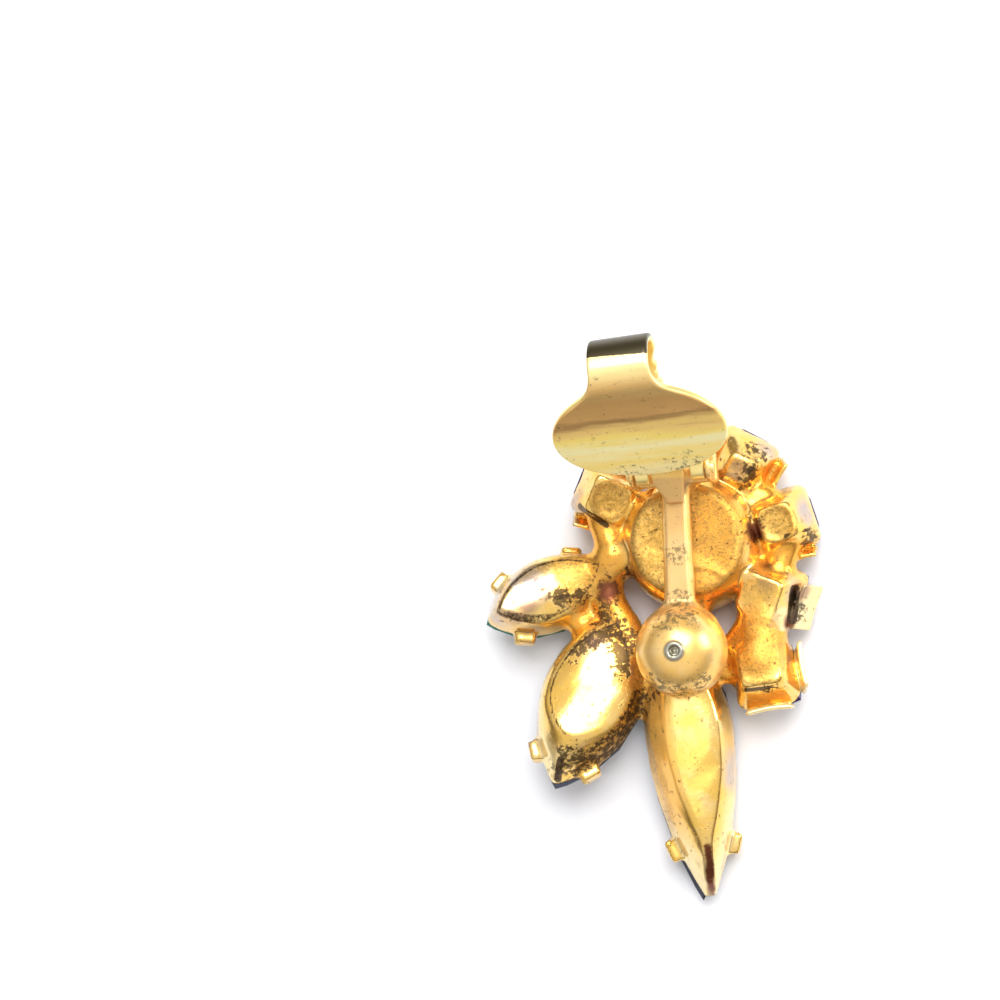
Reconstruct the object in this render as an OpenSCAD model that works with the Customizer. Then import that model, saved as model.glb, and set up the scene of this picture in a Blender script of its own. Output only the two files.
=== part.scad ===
// A clip-on cluster earring, lying face down with its clip open.
// Millimetres. Up is +Z, the stones face the floor, the hinge is towards +Y.
// The hinge line is x = 0, y = 0 inside the modules. The shift values centre the whole.

/* [Round cup] */
// Outside radius of the round cup
round_radius = 4.8; // [4.5:0.05:4.9]
// Height of the back of the round cup
round_back = 5.2; // [4.9:0.05:5.3]

/* [Pointed oval cups] */
// Half the width of the long cup at its rim
long_half_width = 3.05; // [2.9:0.05:3.15]
// Half the width of the medium cup at its rim
medium_half_width = 3.45; // [3.2:0.05:3.55]
// Half the width of the small cup at its rim
small_half_width = 2.6; // [2.45:0.05:2.7]

/* [Square cups] */
// Half the side of a square cup at its rim
square_half = 2.15; // [2.05:0.01:2.2]
// Half the side of a square cup at its back
square_back_half = 1.4; // [1.3:0.05:1.5]

/* [Clip] */
// Height of the hinge line over the floor
pivot_height = 8.0; // [7.9:0.05:8.2]
// Radius of the domed pad
dome_radius = 3.05; // [2.9:0.05:3.1]
// Thickness of the lever strip
lever_sheet = 0.5; // [0.4:0.05:0.6]
// Half the width of the lever strip
lever_half_width = 1.85; // [1.8:0.05:2.0]
// Radius of the fold at the top of the lever
fold_radius = 2.0; // [1.9:0.05:2.1]
// Play between a stub pivot and its hole
pivot_play = 0.05; // [0.03:0.01:0.08]

/* [Hidden] */
$fn = 64;
sink = 0.05;
shift_x = 2.4;
shift_y = 10.9;

// Cup walls and stones
wall = 0.35;
rim_z = 0.95;
stone_gap = 0.1;
girdle_z = 1.3;
girdle_height = 0.2;
skin = 0.02;
tab_height = 2.3;

// Places of the tables of the stones, with turn and lean
round_place = [0.45, -4.4, 0];
long_place = [-0.73, -17.4, 0.4];
medium_place = [-7.16, -15.1, 1.02];
small_place = [-10.2, -7.85, 0.93];
square_a_place = [-5.75, -0.2, 0.5];
square_b_place = [3.85, 1.2, 0.33];
square_c_place = [6.75, -3.1, 0.2];
square_d_place = [5.9, -8.05, 0.3];
square_e_place = [5.0, -13.94, 0.8];

// Pointed ovals: half lengths
long_tip_length = 11.4;
long_head_length = 6.7;
medium_length = 6.65;
small_length = 4.7;

// Clip values, height 0 is the hinge line
hinge_twist = 3;
lever_lean = 1.3;
paddle_turn = -3;
paddle_shift = 0.25;
leg_half_width = 1.5;
stem_under = -2.2;
stem_top = -1.35;
stem_half = 0.95;
stem_top_half = 0.68;
dome_y = -11.86;
dome_z = -1.45;
plate_back = 1.9;
plate_front = -0.75;
plate_half = 2.9;
ear_in = 2.42;
ear_out = 2.74;
ear_radius = 0.95;
stub_radius = 0.42;
arm_in = 1.4;
arm_out = 2.3;
eye_radius = 0.8;
window_top = 3.7;

// Lever side view: leg leaning back, fold, then the hanging paddle
leg_angle = 60.4;
leg_length = 13.3;
fold_sweep = 173.5;
neck_length = 3.3;
paddle_long = 5.36;
paddle_short = 3.93;
paddle_end_radius = 2.7;
rib_radius = 0.16;
fillet_radius = 1.0;

// Spring strip side view
spring_sheet = 0.4;
spring_radius = 1.5;
spring_y = 3.6;
spring_z = 1.9;
spring_half = 1.2;
tongue_y = -1.85;
tongue_z = -0.98;
tongue_half = 0.6;

function bow(half_length, half_width) =
  (half_length * half_length + half_width * half_width) / (2 * half_width);

// A cup frame: the table of its stone is at the origin, facing down.
// It leans outward in one direction and is turned about its own axis.
module place(at, lean_to, lean, spin) {
  translate([at[0] + shift_x, at[1] + shift_y, at[2]])
    rotate([0, 0, lean_to])
      rotate([0, -lean, 0])
        rotate([0, 0, spin - lean_to])
          children();
}

module clip_place() {
  translate([shift_x, shift_y, pivot_height])
    children();
}

// The hinge sits a little askew on the stem
module hinge_place() {
  translate([shift_x, shift_y, pivot_height])
    rotate([0, 0, hinge_twist])
      children();
}

// Round cup

module round_outside() {
  rotate_extrude($fn = 96)
    polygon([
      [0, rim_z],
      [round_radius, rim_z],
      [round_radius, 3.1],
      [round_radius - 0.25, 4.15],
      [round_radius - 0.8, 4.85],
      [round_radius - 1.35, round_back - 0.06],
      [0, round_back]
    ]);
}

module round_hollow() {
  translate([0, 0, rim_z - 1])
    cylinder(h = 1.6, r = round_radius - wall);
  translate([0, 0, rim_z + 0.55])
    cylinder(h = 2.85, r1 = round_radius - wall, r2 = 0.55);
}

module round_stone_shape() {
  hull() {
    rotate(22.5)
      linear_extrude(skin)
        circle(r = 2.6, $fn = 8);
    translate([0, 0, girdle_z])
      linear_extrude(girdle_height)
        circle(r = round_radius - wall - 2 * stone_gap, $fn = 16);
    translate([0, 0, 4.15])
      linear_extrude(skin)
        circle(r = 0.3, $fn = 8);
  }
}

// Pointed oval cups. The long axis runs along y. The shape is what two
// turned bodies share, whose axes lie to the left and to the right.

module oval_body(half_length, rim_half, mid_half, back_half, back) {
  reach = bow(half_length, rim_half) - rim_half;
  intersection_for(side = [-1, 1])
    translate([side * reach, 0, 0])
      rotate_extrude($fn = 128)
        polygon([
          [0, rim_z],
          [reach + rim_half, rim_z],
          [reach + mid_half, back * 0.62],
          [reach + back_half, back],
          [0, back]
        ]);
}

module oval_hollow(half_length, rim_half, back) {
  reach = bow(half_length, rim_half) - rim_half;
  inner = rim_half - wall;
  intersection_for(side = [-1, 1])
    translate([side * reach, 0, 0])
      rotate_extrude($fn = 128)
        polygon([
          [0, -1],
          [reach + inner, -1],
          [reach + inner, rim_z + 0.6],
          [reach + 0.3, back - 0.75],
          [0, back - 0.75]
        ]);
}

// Keeps what lies on one side of y = 0
module tip_side() {
  intersection() {
    children();
    translate([-8, -20, -2])
      cube([16, 20, 10]);
  }
}

module head_side() {
  intersection() {
    children();
    translate([-8, -0.3, -2])
      cube([16, 20, 10]);
  }
}

function oval_points(tip, head, half_width, steps) = concat(
  [for (i = [0 : 2 * steps])
    let (t = -90 + 90 * i / steps, y = sin(t) * (t < 0 ? tip : head),
      r = bow(t < 0 ? tip : head, half_width))
    [sqrt(r * r - y * y) - r + half_width, y]],
  [for (i = [1 : 2 * steps - 1])
    let (t = 90 - 90 * i / steps, y = sin(t) * (t < 0 ? tip : head),
      r = bow(t < 0 ? tip : head, half_width))
    [-(sqrt(r * r - y * y) - r + half_width), y]]
);

module oval_stone_shape(tip, head, half_width, depth) {
  hull() {
    linear_extrude(skin)
      polygon(oval_points(tip * 0.68, head * 0.68, half_width * 0.58, 2));
    translate([0, 0, girdle_z])
      linear_extrude(girdle_height)
        polygon(oval_points(tip, head, half_width, 4));
    translate([0, 0, depth])
      linear_extrude(skin)
        polygon(oval_points(tip * 0.3, head * 0.3, 0.12, 1));
  }
}

// A grip: a folded tab on the wall with a tip bent over the edge of the stone
module grip(at_x, at_y, wide, deep, turn) {
  translate([at_x, at_y, 0])
    rotate([0, 0, turn]) {
      translate([-0.2, -wide / 2, 0.35])
        cube([deep + 0.2, wide, 1.7]);
      translate([-0.5, -wide / 2, 0.3])
        cube([0.7, wide, 0.3]);
    }
}

module oval_grips(half_length, rim_half, at_y, deep) {
  side = sqrt(pow(bow(half_length, rim_half), 2) - at_y * at_y)
    - bow(half_length, rim_half) + rim_half;
  lean = asin(at_y / bow(half_length, rim_half));
  grip(side - 0.1, at_y, 1.3, deep, lean);
  mirror([1, 0, 0])
    grip(side - 0.1, at_y, 1.3, deep, lean);
}

// Cuts the back down to the outer tip along two planes that meet in a keel
module tip_keel(from_y, back, spread, slope) {
  difference() {
    children();
    for (side = [-1, 1])
      translate([0, from_y, back])
        rotate([0, 0, side * spread])
          rotate([slope, 0, 0])
            translate([-12, -14, 0])
              cube([24, 14, 6]);
  }
}

module long_hollow() {
  tip_side()
    oval_hollow(long_tip_length, long_half_width, 4.9);
  head_side()
    oval_hollow(long_head_length, long_half_width - 0.02, 4.88);
}

module long_cup() {
  tip_keel(-6.3, 5.0, 52, 33)
    tip_side()
      oval_body(long_tip_length, long_half_width, 2.8, 2.3, 5.0);
  head_side()
    oval_body(long_head_length, long_half_width - 0.02, 2.78, 2.28, 4.98);
  oval_grips(long_tip_length, long_half_width, -7.7, 0.9);
  oval_grips(long_head_length, long_half_width, 4.9, 0.4);
}

module medium_hollow() {
  oval_hollow(medium_length, medium_half_width, 4.4);
}

module medium_cup() {
  tip_keel(-3.3, 4.5, 50, 36)
    oval_body(medium_length, medium_half_width, 3.25, 2.7, 4.5);
  oval_grips(medium_length, medium_half_width, -4.8, 0.7);
  oval_grips(medium_length, medium_half_width, 3.9, 0.5);
}

module small_hollow() {
  oval_hollow(small_length, small_half_width, 3.8);
}

module small_cup() {
  tip_keel(-2.2, 3.9, 50, 36)
    oval_body(small_length, small_half_width, 2.4, 2.05, 3.9);
  oval_grips(small_length, small_half_width, -2.6, 0.6);
  oval_grips(small_length, small_half_width, 2.6, 0.5);
}

// Square cups: two crossed wedges with the corners turned off

module square_prism(rim_half, mid_half, back_half, low, back) {
  translate([0, 3.5, 0])
    rotate([90, 0, 0])
      linear_extrude(7)
        polygon([
          [-rim_half, low],
          [rim_half, low],
          [mid_half, 2.3],
          [back_half, back],
          [-back_half, back],
          [-mid_half, 2.3]
        ]);
}

module square_outside() {
  intersection() {
    square_prism(square_half, square_half - 0.06, square_back_half, rim_z, 4.3);
    rotate([0, 0, 90])
      square_prism(square_half, square_half - 0.06, square_back_half, rim_z, 4.3);
    rotate_extrude($fn = 64)
      polygon([
        [0, rim_z],
        [square_half * 1.27, rim_z],
        [square_half * 1.25, 2.3],
        [square_back_half * 1.22, 4.3],
        [0, 4.3]
      ]);
  }
}

module square_hollow() {
  inner = square_half - wall;
  intersection() {
    translate([0, 3.5, 0])
      rotate([90, 0, 0])
        linear_extrude(7)
          polygon([
            [-inner, -1],
            [inner, -1],
            [inner, 1.6],
            [0.3, 3.75],
            [-0.3, 3.75],
            [-inner, 1.6]
          ]);
    translate([-3.5, 0, 0])
      rotate([90, 0, 90])
        linear_extrude(7)
          polygon([
            [-inner, -1],
            [inner, -1],
            [inner, 1.6],
            [0.3, 3.75],
            [-0.3, 3.75],
            [-inner, 1.6]
          ]);
  }
}

// A wide tab standing a little off one side of a square cup. A tilt below
// zero swings its free edge away from the stone.
module side_tab(turn, tilt) {
  swing = tilt < 0 ? -tab_height * sin(tilt) : 0;
  rotate([0, 0, turn])
    translate([square_half - 0.1, 0, 0]) {
      translate([swing, -1.6, rim_z - 0.45])
        rotate([0, tilt, 0])
          cube([0.35, 3.2, tab_height]);
      if (tilt > 0)
        translate([-0.55, -1.1, rim_z - 0.6])
          cube([0.75, 2.2, 0.25]);
    }
}

module square_cup(tabs) {
  square_outside();
  for (tab = tabs)
    side_tab(tab[0], tab[1]);
}

module square_stone_shape() {
  edge = square_half - wall - stone_gap;
  cut = 0.4;
  hull() {
    linear_extrude(skin)
      polygon([
        [-1.1, -0.85], [-0.85, -1.1], [0.85, -1.1], [1.1, -0.85],
        [1.1, 0.85], [0.85, 1.1], [-0.85, 1.1], [-1.1, 0.85]
      ]);
    translate([0, 0, girdle_z])
      linear_extrude(girdle_height)
        polygon([
          [-edge, cut - edge], [cut - edge, -edge], [edge - cut, -edge], [edge, cut - edge],
          [edge, edge - cut], [edge - cut, edge], [cut - edge, edge], [-edge, edge - cut]
        ]);
    translate([0, 0, 3.5])
      linear_extrude(skin)
        square([0.3, 0.3], center = true);
  }
}

// Placed cups

module round_spot() {
  place(round_place, 0, 0, 0)
    children();
}

module long_spot() {
  place(long_place, 180, 13, 5)
    children();
}

module medium_spot() {
  place(medium_place, 244, 15, -24)
    children();
}

module small_spot() {
  place(small_place, 215, 17, 293)
    children();
}

module square_a_spot() {
  place(square_a_place, 128, 20, -25)
    children();
}

module square_b_spot() {
  place(square_b_place, 105, 13, -31)
    children();
}

module square_c_spot() {
  place(square_c_place, 58, 7, 15)
    children();
}

module square_d_spot() {
  place(square_d_place, 20, 12, -22)
    children();
}

module square_e_spot() {
  place(square_e_place, 275, 14, 8)
    children();
}

// Solder: a round bar of metal between two points
module solder(from, to, radius) {
  run = to - from;
  flat = norm([run[0], run[1]]);
  translate([from[0] + shift_x, from[1] + shift_y, from[2]])
    rotate([0, atan2(flat, run[2]), atan2(run[1], run[0])])
      cylinder(h = norm(run), r = radius, $fn = 48);
}

// A lump of solder, widest at the middle of its height
module solder_lump(at, radius) {
  translate([at[0] + shift_x, at[1] + shift_y, at[2]])
    for (side = [0, 1])
      mirror([0, 0, side])
        cylinder(h = radius * 0.85, r1 = radius, r2 = radius * 0.6, $fn = 48);
}

module solder_webs() {
  solder([-5.7, -2.7, 3.2], [-4.8, -5.2, 3.3], 1.1);
  solder([-7.4, -6.2, 3.1], [-3.6, -5.0, 3.3], 1.0);
  solder_lump([-5.0, -5.3, 3.3], 1.25);
  solder([-5.2, -5.6, 3.1], [-5.6, -10.0, 3.3], 0.95);
  solder_lump([-5.5, -8.3, 3.2], 1.15);
  solder([-8.3, -8.3, 2.9], [-6.4, -11.4, 3.1], 1.15);
  solder([-5.4, -13.7, 3.0], [-2.2, -14.3, 3.2], 0.95);
  solder([0.3, -8.4, 3.3], [0.0, -11.9, 3.4], 1.3);
  solder([1.2, -13.2, 3.3], [4.4, -13.1, 3.2], 1.0);
  solder([5.5, -9.4, 3.4], [5.2, -13.0, 3.5], 1.45);
  solder_lump([4.9, -11.0, 3.5], 1.6);
  solder_lump([-3.8, -11.3, 3.0], 1.5);
  solder([6.9, -4.6, 3.1], [6.2, -6.9, 3.1], 1.2);
  solder([3.6, -6.2, 3.2], [5.2, -7.2, 3.2], 1.0);
  solder([4.2, -3.3, 3.2], [5.8, -3.3, 3.0], 1.0);
  solder([3.1, -0.8, 3.2], [5.9, -1.3, 3.0], 1.0);
  solder([-4.6, -1.6, 3.1], [-2.6, -2.0, 3.2], 0.9);
}

// Clip frame

module dome_pad() {
  translate([0, dome_y, dome_z]) {
    difference() {
      sphere(r = dome_radius, $fn = 96);
      translate([-4, -4, -5])
        cube([8, 8, 5]);
    }
    translate([0, 0, -0.55])
      cylinder(h = 0.56, r = dome_radius - 0.08, $fn = 96);
    translate([0, 0.2, -2.2])
      cylinder(h = 2.0, r = 2.3, $fn = 64);
    difference() {
      translate([0, 0, dome_radius - 0.3])
        cylinder(h = 0.5, r = 0.62, $fn = 48);
      translate([0, 0, dome_radius - 0.05])
        cylinder(h = 1, r = 0.3, $fn = 48);
    }
  }
}

module stem() {
  intersection() {
    translate([0, plate_front + 0.5, 0])
      rotate([90, 0, 0])
        linear_extrude(plate_front + 0.5 - dome_y - 0.8)
          polygon([
            [-stem_half - 0.1, stem_under],
            [stem_half + 0.1, stem_under],
            [stem_half + 0.1, stem_under + 0.3],
            [stem_top_half + 0.05, stem_top],
            [-stem_top_half - 0.05, stem_top],
            [-stem_half - 0.1, stem_under + 0.3]
          ]);
    translate([0, 0, stem_under - 1])
      linear_extrude(4)
        polygon([
          [-stem_half + 0.05, plate_front + 1],
          [stem_half - 0.05, plate_front + 1],
          [stem_half + 0.1, dome_y + 0.5],
          [-stem_half - 0.1, dome_y + 0.5]
        ]);
  }
  for (side = [0, 1])
    mirror([side, 0, 0])
      difference() {
        translate([stem_half - 0.15, dome_y + 2.5, stem_under])
          cube([1.1, 1.6, 0.7]);
        translate([stem_half + 1.0, dome_y + 4.15, stem_under - 1])
          cylinder(h = 3, r = 1.15, $fn = 48);
      }
}

module hinge_plate() {
  translate([-plate_half, plate_front, stem_under - 0.1])
    cube([2 * plate_half, plate_back - plate_front, stem_top - stem_under]);
  for (side = [0, 1])
    mirror([side, 0, 0])
      difference() {
        union() {
          translate([ear_in, 0, 0])
            rotate([0, 90, 0])
              cylinder(h = ear_out - ear_in, r = ear_radius, $fn = 64);
          translate([ear_in, -ear_radius + sink, stem_under])
            cube([ear_out - ear_in, 2 * (ear_radius - sink), -stem_under]);
        }
        translate([ear_in - 1, 0, 0])
          rotate([0, 90, 0])
            cylinder(h = 3, r = stub_radius + pivot_play, $fn = 64);
      }
  translate([0, 0.3, -3.2])
    cylinder(h = 1.6, r = 1.5, $fn = 48);
  translate([0, -0.3, -4.4])
    cylinder(h = 2.4, r1 = 1.7, r2 = 1.35, $fn = 48);
}

// Spring strip: up from the plate, round, and down again as a tongue

function turn_off(from, to, radius, way) =
  atan2(to[1] - from[1], to[0] - from[0]) + way * asin(radius / norm(to - from));

module spring_side() {
  hub = [spring_y, spring_z];
  low = [plate_back - 0.3, stem_under + 0.35];
  end = [tongue_y, tongue_z];
  rise = turn_off(low, hub, spring_radius, -1);
  fall = turn_off(end, hub, spring_radius, 1);
  rise_run = sqrt(pow(norm(hub - low), 2) - spring_radius * spring_radius);
  fall_run = sqrt(pow(norm(hub - end), 2) - spring_radius * spring_radius);
  translate(low)
    rotate(rise)
      translate([-0.3, -spring_sheet / 2])
        square([rise_run + 0.3, spring_sheet]);
  translate(end)
    rotate(fall)
      translate([0, -spring_sheet / 2])
        square([fall_run, spring_sheet]);
  translate(hub)
    intersection() {
      difference() {
        circle(r = spring_radius + spring_sheet / 2, $fn = 96);
        circle(r = spring_radius - spring_sheet / 2, $fn = 96);
      }
      polygon([
        [0, 0],
        [6 * cos(rise - 91), 6 * sin(rise - 91)],
        [6 * cos(rise - 40), 6 * sin(rise - 40)],
        [6 * cos(rise + 10), 6 * sin(rise + 10)],
        [6 * cos(fall + 50), 6 * sin(fall + 50)],
        [6 * cos(fall + 91), 6 * sin(fall + 91)]
      ]);
    }
}

module spring_strip() {
  intersection() {
    translate([-spring_half, 0, 0])
      rotate([90, 0, 90])
        linear_extrude(2 * spring_half)
          spring_side();
    translate([0, 0, -4])
      linear_extrude(10)
        polygon([
          [-tongue_half, tongue_y - 1],
          [tongue_half, tongue_y - 1],
          [tongue_half, tongue_y + 0.1],
          [spring_half - 0.2, tongue_y + 1.7],
          [spring_half + 0.1, tongue_y + 3],
          [spring_half + 0.1, 8],
          [-spring_half - 0.1, 8],
          [-spring_half - 0.1, tongue_y + 1.1],
          [-tongue_half, tongue_y + 0.1]
        ]);
  }
}

// All cups with the metal between them
module cluster_metal() {
  difference() {
    union() {
      round_spot()
        round_outside();
      solder_webs();
      long_spot()
        long_cup();
      medium_spot()
        medium_cup();
      small_spot()
        small_cup();
      square_a_spot()
        square_cup([[270, 12], [90, 12]]);
      square_b_spot()
        square_cup([[0, 12], [180, 12]]);
      square_c_spot()
        square_cup([[270, 12]]);
      square_d_spot()
        square_cup([[0, -20]]);
      square_e_spot()
        square_cup([[0, 12], [270, 12]]);
    }
    round_spot()
      round_hollow();
    long_spot()
      long_hollow();
    medium_spot()
      medium_hollow();
    small_spot()
      small_hollow();
    square_a_spot()
      square_hollow();
    square_b_spot()
      square_hollow();
    square_c_spot()
      square_hollow();
    square_d_spot()
      square_hollow();
    square_e_spot()
      square_hollow();
  }
}

module setting() {
  color([0.83, 0.65, 0.34]) {
    cluster_metal();
    clip_place() {
      dome_pad();
      stem();
    }
    hinge_place() {
      hinge_plate();
      spring_strip();
    }
  }
}

// Lever

function leg_end() = [leg_length * cos(leg_angle), leg_length * sin(leg_angle)];
function fold_hub() = leg_end() + fold_radius * [-sin(leg_angle), cos(leg_angle)];
function fold_out() = leg_angle - 90 + fold_sweep;
function neck_start() = fold_hub() + fold_radius * [cos(fold_out()), sin(fold_out())];
function paddle_way() = [-sin(fold_out()), cos(fold_out())];
function paddle_middle() = neck_start() + neck_length * paddle_way();

// The leg leans a little to the left within its own plane
module lean_over() {
  rotate([leg_angle, 0, 0])
    rotate([0, 0, lever_lean])
      rotate([-leg_angle, 0, 0])
        children();
}

module lever_fork() {
  rotate([leg_angle, 0, 0])
    translate([0, 0, -lever_sheet / 2])
      linear_extrude(lever_sheet)
        difference() {
          polygon([
            [-arm_out, 0],
            [arm_out, 0],
            [arm_out, 2.6],
            [lever_half_width, 4.6],
            [-lever_half_width, 4.6],
            [-arm_out, 2.6]
          ]);
          translate([-arm_in, -1])
            square([2 * arm_in, window_top + 1 - 0.7]);
          translate([-arm_in + 0.7, window_top - 0.8])
            square([2 * arm_in - 1.4, 0.8]);
          for (side = [-1, 1])
            translate([side * (arm_in - 0.7), window_top - 0.7])
              circle(r = 0.7, $fn = 48);
        }
}

module lever_leg() {
  rotate([leg_angle, 0, 0])
    translate([0, 0, -lever_sheet / 2])
      linear_extrude(lever_sheet)
        polygon([
          [-lever_half_width, 4],
          [lever_half_width, 4],
          [lever_half_width, 5],
          [leg_half_width, 7],
          [leg_half_width, leg_length - 1.2],
          [lever_half_width, leg_length - 0.2],
          [lever_half_width, leg_length + sink],
          [-lever_half_width, leg_length + sink]
        ]);
}

module lever_fold() {
  half = fold_sweep / 2;
  translate([-lever_half_width, 0, 0])
    rotate([90, 0, 90])
      linear_extrude(2 * lever_half_width)
        translate(fold_hub())
          intersection() {
            difference() {
              circle(r = fold_radius + lever_sheet / 2, $fn = 128);
              circle(r = fold_radius - lever_sheet / 2, $fn = 128);
            }
            polygon([
              [0, 0],
              [9 * cos(leg_angle - 90), 9 * sin(leg_angle - 90)],
              [9 * cos(leg_angle - 90 + half * 0.5), 9 * sin(leg_angle - 90 + half * 0.5)],
              [9 * cos(leg_angle - 90 + half), 9 * sin(leg_angle - 90 + half)],
              [9 * cos(leg_angle - 90 + half * 1.5), 9 * sin(leg_angle - 90 + half * 1.5)],
              [9 * cos(fold_out()), 9 * sin(fold_out())]
            ]);
          }
}

module paddle_oval(long_half, short_half, end_radius) {
  reach = long_half - end_radius;
  big = (reach * reach + short_half * short_half - end_radius * end_radius)
    / (2 * (short_half - end_radius));
  join = reach + end_radius * reach / (big - end_radius);
  for (side = [-1, 1])
    translate([side * reach, 0])
      circle(r = end_radius, $fn = 96);
  intersection() {
    translate([0, short_half - big])
      circle(r = big, $fn = 192);
    translate([0, big - short_half])
      circle(r = big, $fn = 192);
    square([2 * join, 3 * short_half], center = true);
  }
}

module paddle_plan() {
  translate([paddle_shift, 0])
    rotate(paddle_turn)
      paddle_oval(paddle_long, paddle_short, paddle_end_radius);
  translate([-lever_half_width, 2])
    square([2 * lever_half_width, neck_length - 2 + sink]);
  for (side = [0, 1])
    mirror([side, 0])
      difference() {
        translate([lever_half_width - sink, 2.4])
          square([1.0, 1.15]);
        translate([lever_half_width + fillet_radius, 4.15])
          circle(r = fillet_radius, $fn = 48);
      }
}

module lever_paddle() {
  translate([0, paddle_middle()[0], paddle_middle()[1]])
    rotate([fold_out() - 90, 0, 0]) {
      translate([0, 0, -lever_sheet / 2])
        linear_extrude(lever_sheet)
          paddle_plan();
      translate([paddle_shift, 0, 0])
        rotate([0, 0, paddle_turn])
          intersection() {
            for (step = [-2 : 2])
              translate([-paddle_long, step * 1.15 - 0.4, lever_sheet / 2 - 0.02])
                rotate([0, 90, 0])
                  cylinder(h = 2 * paddle_long, r = rib_radius, $fn = 32);
            translate([0, 0, -1])
              linear_extrude(3)
                paddle_oval(paddle_long - 0.35, paddle_short - 0.35, paddle_end_radius - 0.35);
          }
    }
}

module lever_eyes() {
  for (side = [0, 1])
    mirror([side, 0, 0]) {
      translate([arm_in, 0, 0])
        rotate([0, 90, 0])
          cylinder(h = arm_out - arm_in, r = eye_radius, $fn = 64);
      translate([arm_out - sink, 0, 0])
        rotate([0, 90, 0])
          cylinder(h = ear_out - arm_out + 0.2, r = stub_radius, $fn = 64);
    }
}

module clip_lever() {
  color([0.87, 0.72, 0.42])
    hinge_place() {
      lever_fork();
      lever_eyes();
      lean_over() {
        lever_leg();
        lever_fold();
        lever_paddle();
      }
    }
}

// Stones

module round_stone() {
  color([0.08, 0.1, 0.42])
    round_spot()
      round_stone_shape();
}

module long_stone() {
  color([0.1, 0.13, 0.3])
    long_spot()
      oval_stone_shape(10.4, 5.95, long_half_width - wall - stone_gap, 3.75);
}

module medium_stone() {
  color([0.16, 0.13, 0.5])
    medium_spot()
      oval_stone_shape(5.8, 5.8, medium_half_width - wall - stone_gap, 3.3);
}

module small_stone() {
  color([0.02, 0.4, 0.32])
    small_spot()
      oval_stone_shape(4.1, 4.1, small_half_width - wall - stone_gap, 2.7);
}

module square_stone_a() {
  color([0.18, 0.1, 0.42])
    square_a_spot()
      square_stone_shape();
}

module square_stone_b() {
  color([0.18, 0.1, 0.42])
    square_b_spot()
      square_stone_shape();
}

module square_stone_c() {
  color([0.18, 0.1, 0.42])
    square_c_spot()
      square_stone_shape();
}

module square_stone_d() {
  color([0.18, 0.1, 0.42])
    square_d_spot()
      square_stone_shape();
}

module square_stone_e() {
  color([0.18, 0.1, 0.42])
    square_e_spot()
      square_stone_shape();
}

setting();
round_stone();
long_stone();
medium_stone();
small_stone();
square_stone_a();
square_stone_b();
square_stone_c();
square_stone_d();
square_stone_e();
clip_lever();
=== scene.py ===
"""A clip-on cluster earring, lying face down on a pale table with its clip open."""

import math

import bpy
import numpy as np
from mathutils import Matrix, Vector


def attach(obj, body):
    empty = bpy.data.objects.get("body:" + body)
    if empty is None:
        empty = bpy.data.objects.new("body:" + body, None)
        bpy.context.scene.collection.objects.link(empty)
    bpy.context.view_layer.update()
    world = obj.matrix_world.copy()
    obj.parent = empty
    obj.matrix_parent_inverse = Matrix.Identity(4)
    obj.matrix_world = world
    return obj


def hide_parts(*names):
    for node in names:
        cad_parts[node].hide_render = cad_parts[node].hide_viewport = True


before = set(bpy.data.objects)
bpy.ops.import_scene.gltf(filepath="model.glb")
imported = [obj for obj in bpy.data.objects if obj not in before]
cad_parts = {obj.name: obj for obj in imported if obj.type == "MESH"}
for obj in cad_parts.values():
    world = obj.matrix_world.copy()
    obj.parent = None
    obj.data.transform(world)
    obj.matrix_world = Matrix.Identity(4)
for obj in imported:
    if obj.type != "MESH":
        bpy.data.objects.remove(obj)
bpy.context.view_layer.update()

# Shapes below are worked out in millimetres, and the scene is in metres
MM = 0.001

# Sizes of the grid cells that the metal is cast on, and a distance that counts as far
CLUSTER_CELL, CLIP_CELL, LEVER_CELL = 0.152, 0.09, 0.085
FAR = 3.0

# Where the hinge line crosses the middle of the clip
HINGE = (2.4, 10.9, 8.0)
HINGE_TWIST = 3.0

# In each cup's own frame its stone's table is at the origin, facing down. These are the
# height of its rim and how thick its side and its back are.
RIM_Z = 0.95
WALL = 0.35
ROOF = 0.8


def turn(axis, degrees):
    return np.array(Matrix.Rotation(math.radians(degrees), 3, axis))


class Spot:
    """A local frame: where a part sits and how it is turned."""

    def __init__(self, at, axes=None):
        self.at = np.array(at, float)
        self.axes = np.eye(3) if axes is None else axes

    def local(self, points):
        x, y, z = (points[i] - self.at[i] for i in range(3))
        return tuple(
            self.axes[0, i] * x + self.axes[1, i] * y + self.axes[2, i] * z
            for i in range(3)
        )

    def out(self, points):
        return np.asarray(points, float) @ self.axes.T + self.at

    def inner(self, at, *turns):
        """A frame inside this one."""
        axes = self.axes
        for axis, degrees in turns:
            axes = axes @ turn(axis, degrees)
        return Spot(self.out(at), axes)


def cup_spot(at, lean_to, lean, spin):
    axes = turn("Z", lean_to) @ turn("Y", -lean) @ turn("Z", spin - lean_to)
    return Spot((at[0] + HINGE[0], at[1] + HINGE[1], at[2]), axes)


CLUSTER = Spot((HINGE[0], HINGE[1], 0))
CLIP = Spot(HINGE)
HINGE_SPOT = Spot(HINGE, turn("Z", HINGE_TWIST))

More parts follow.
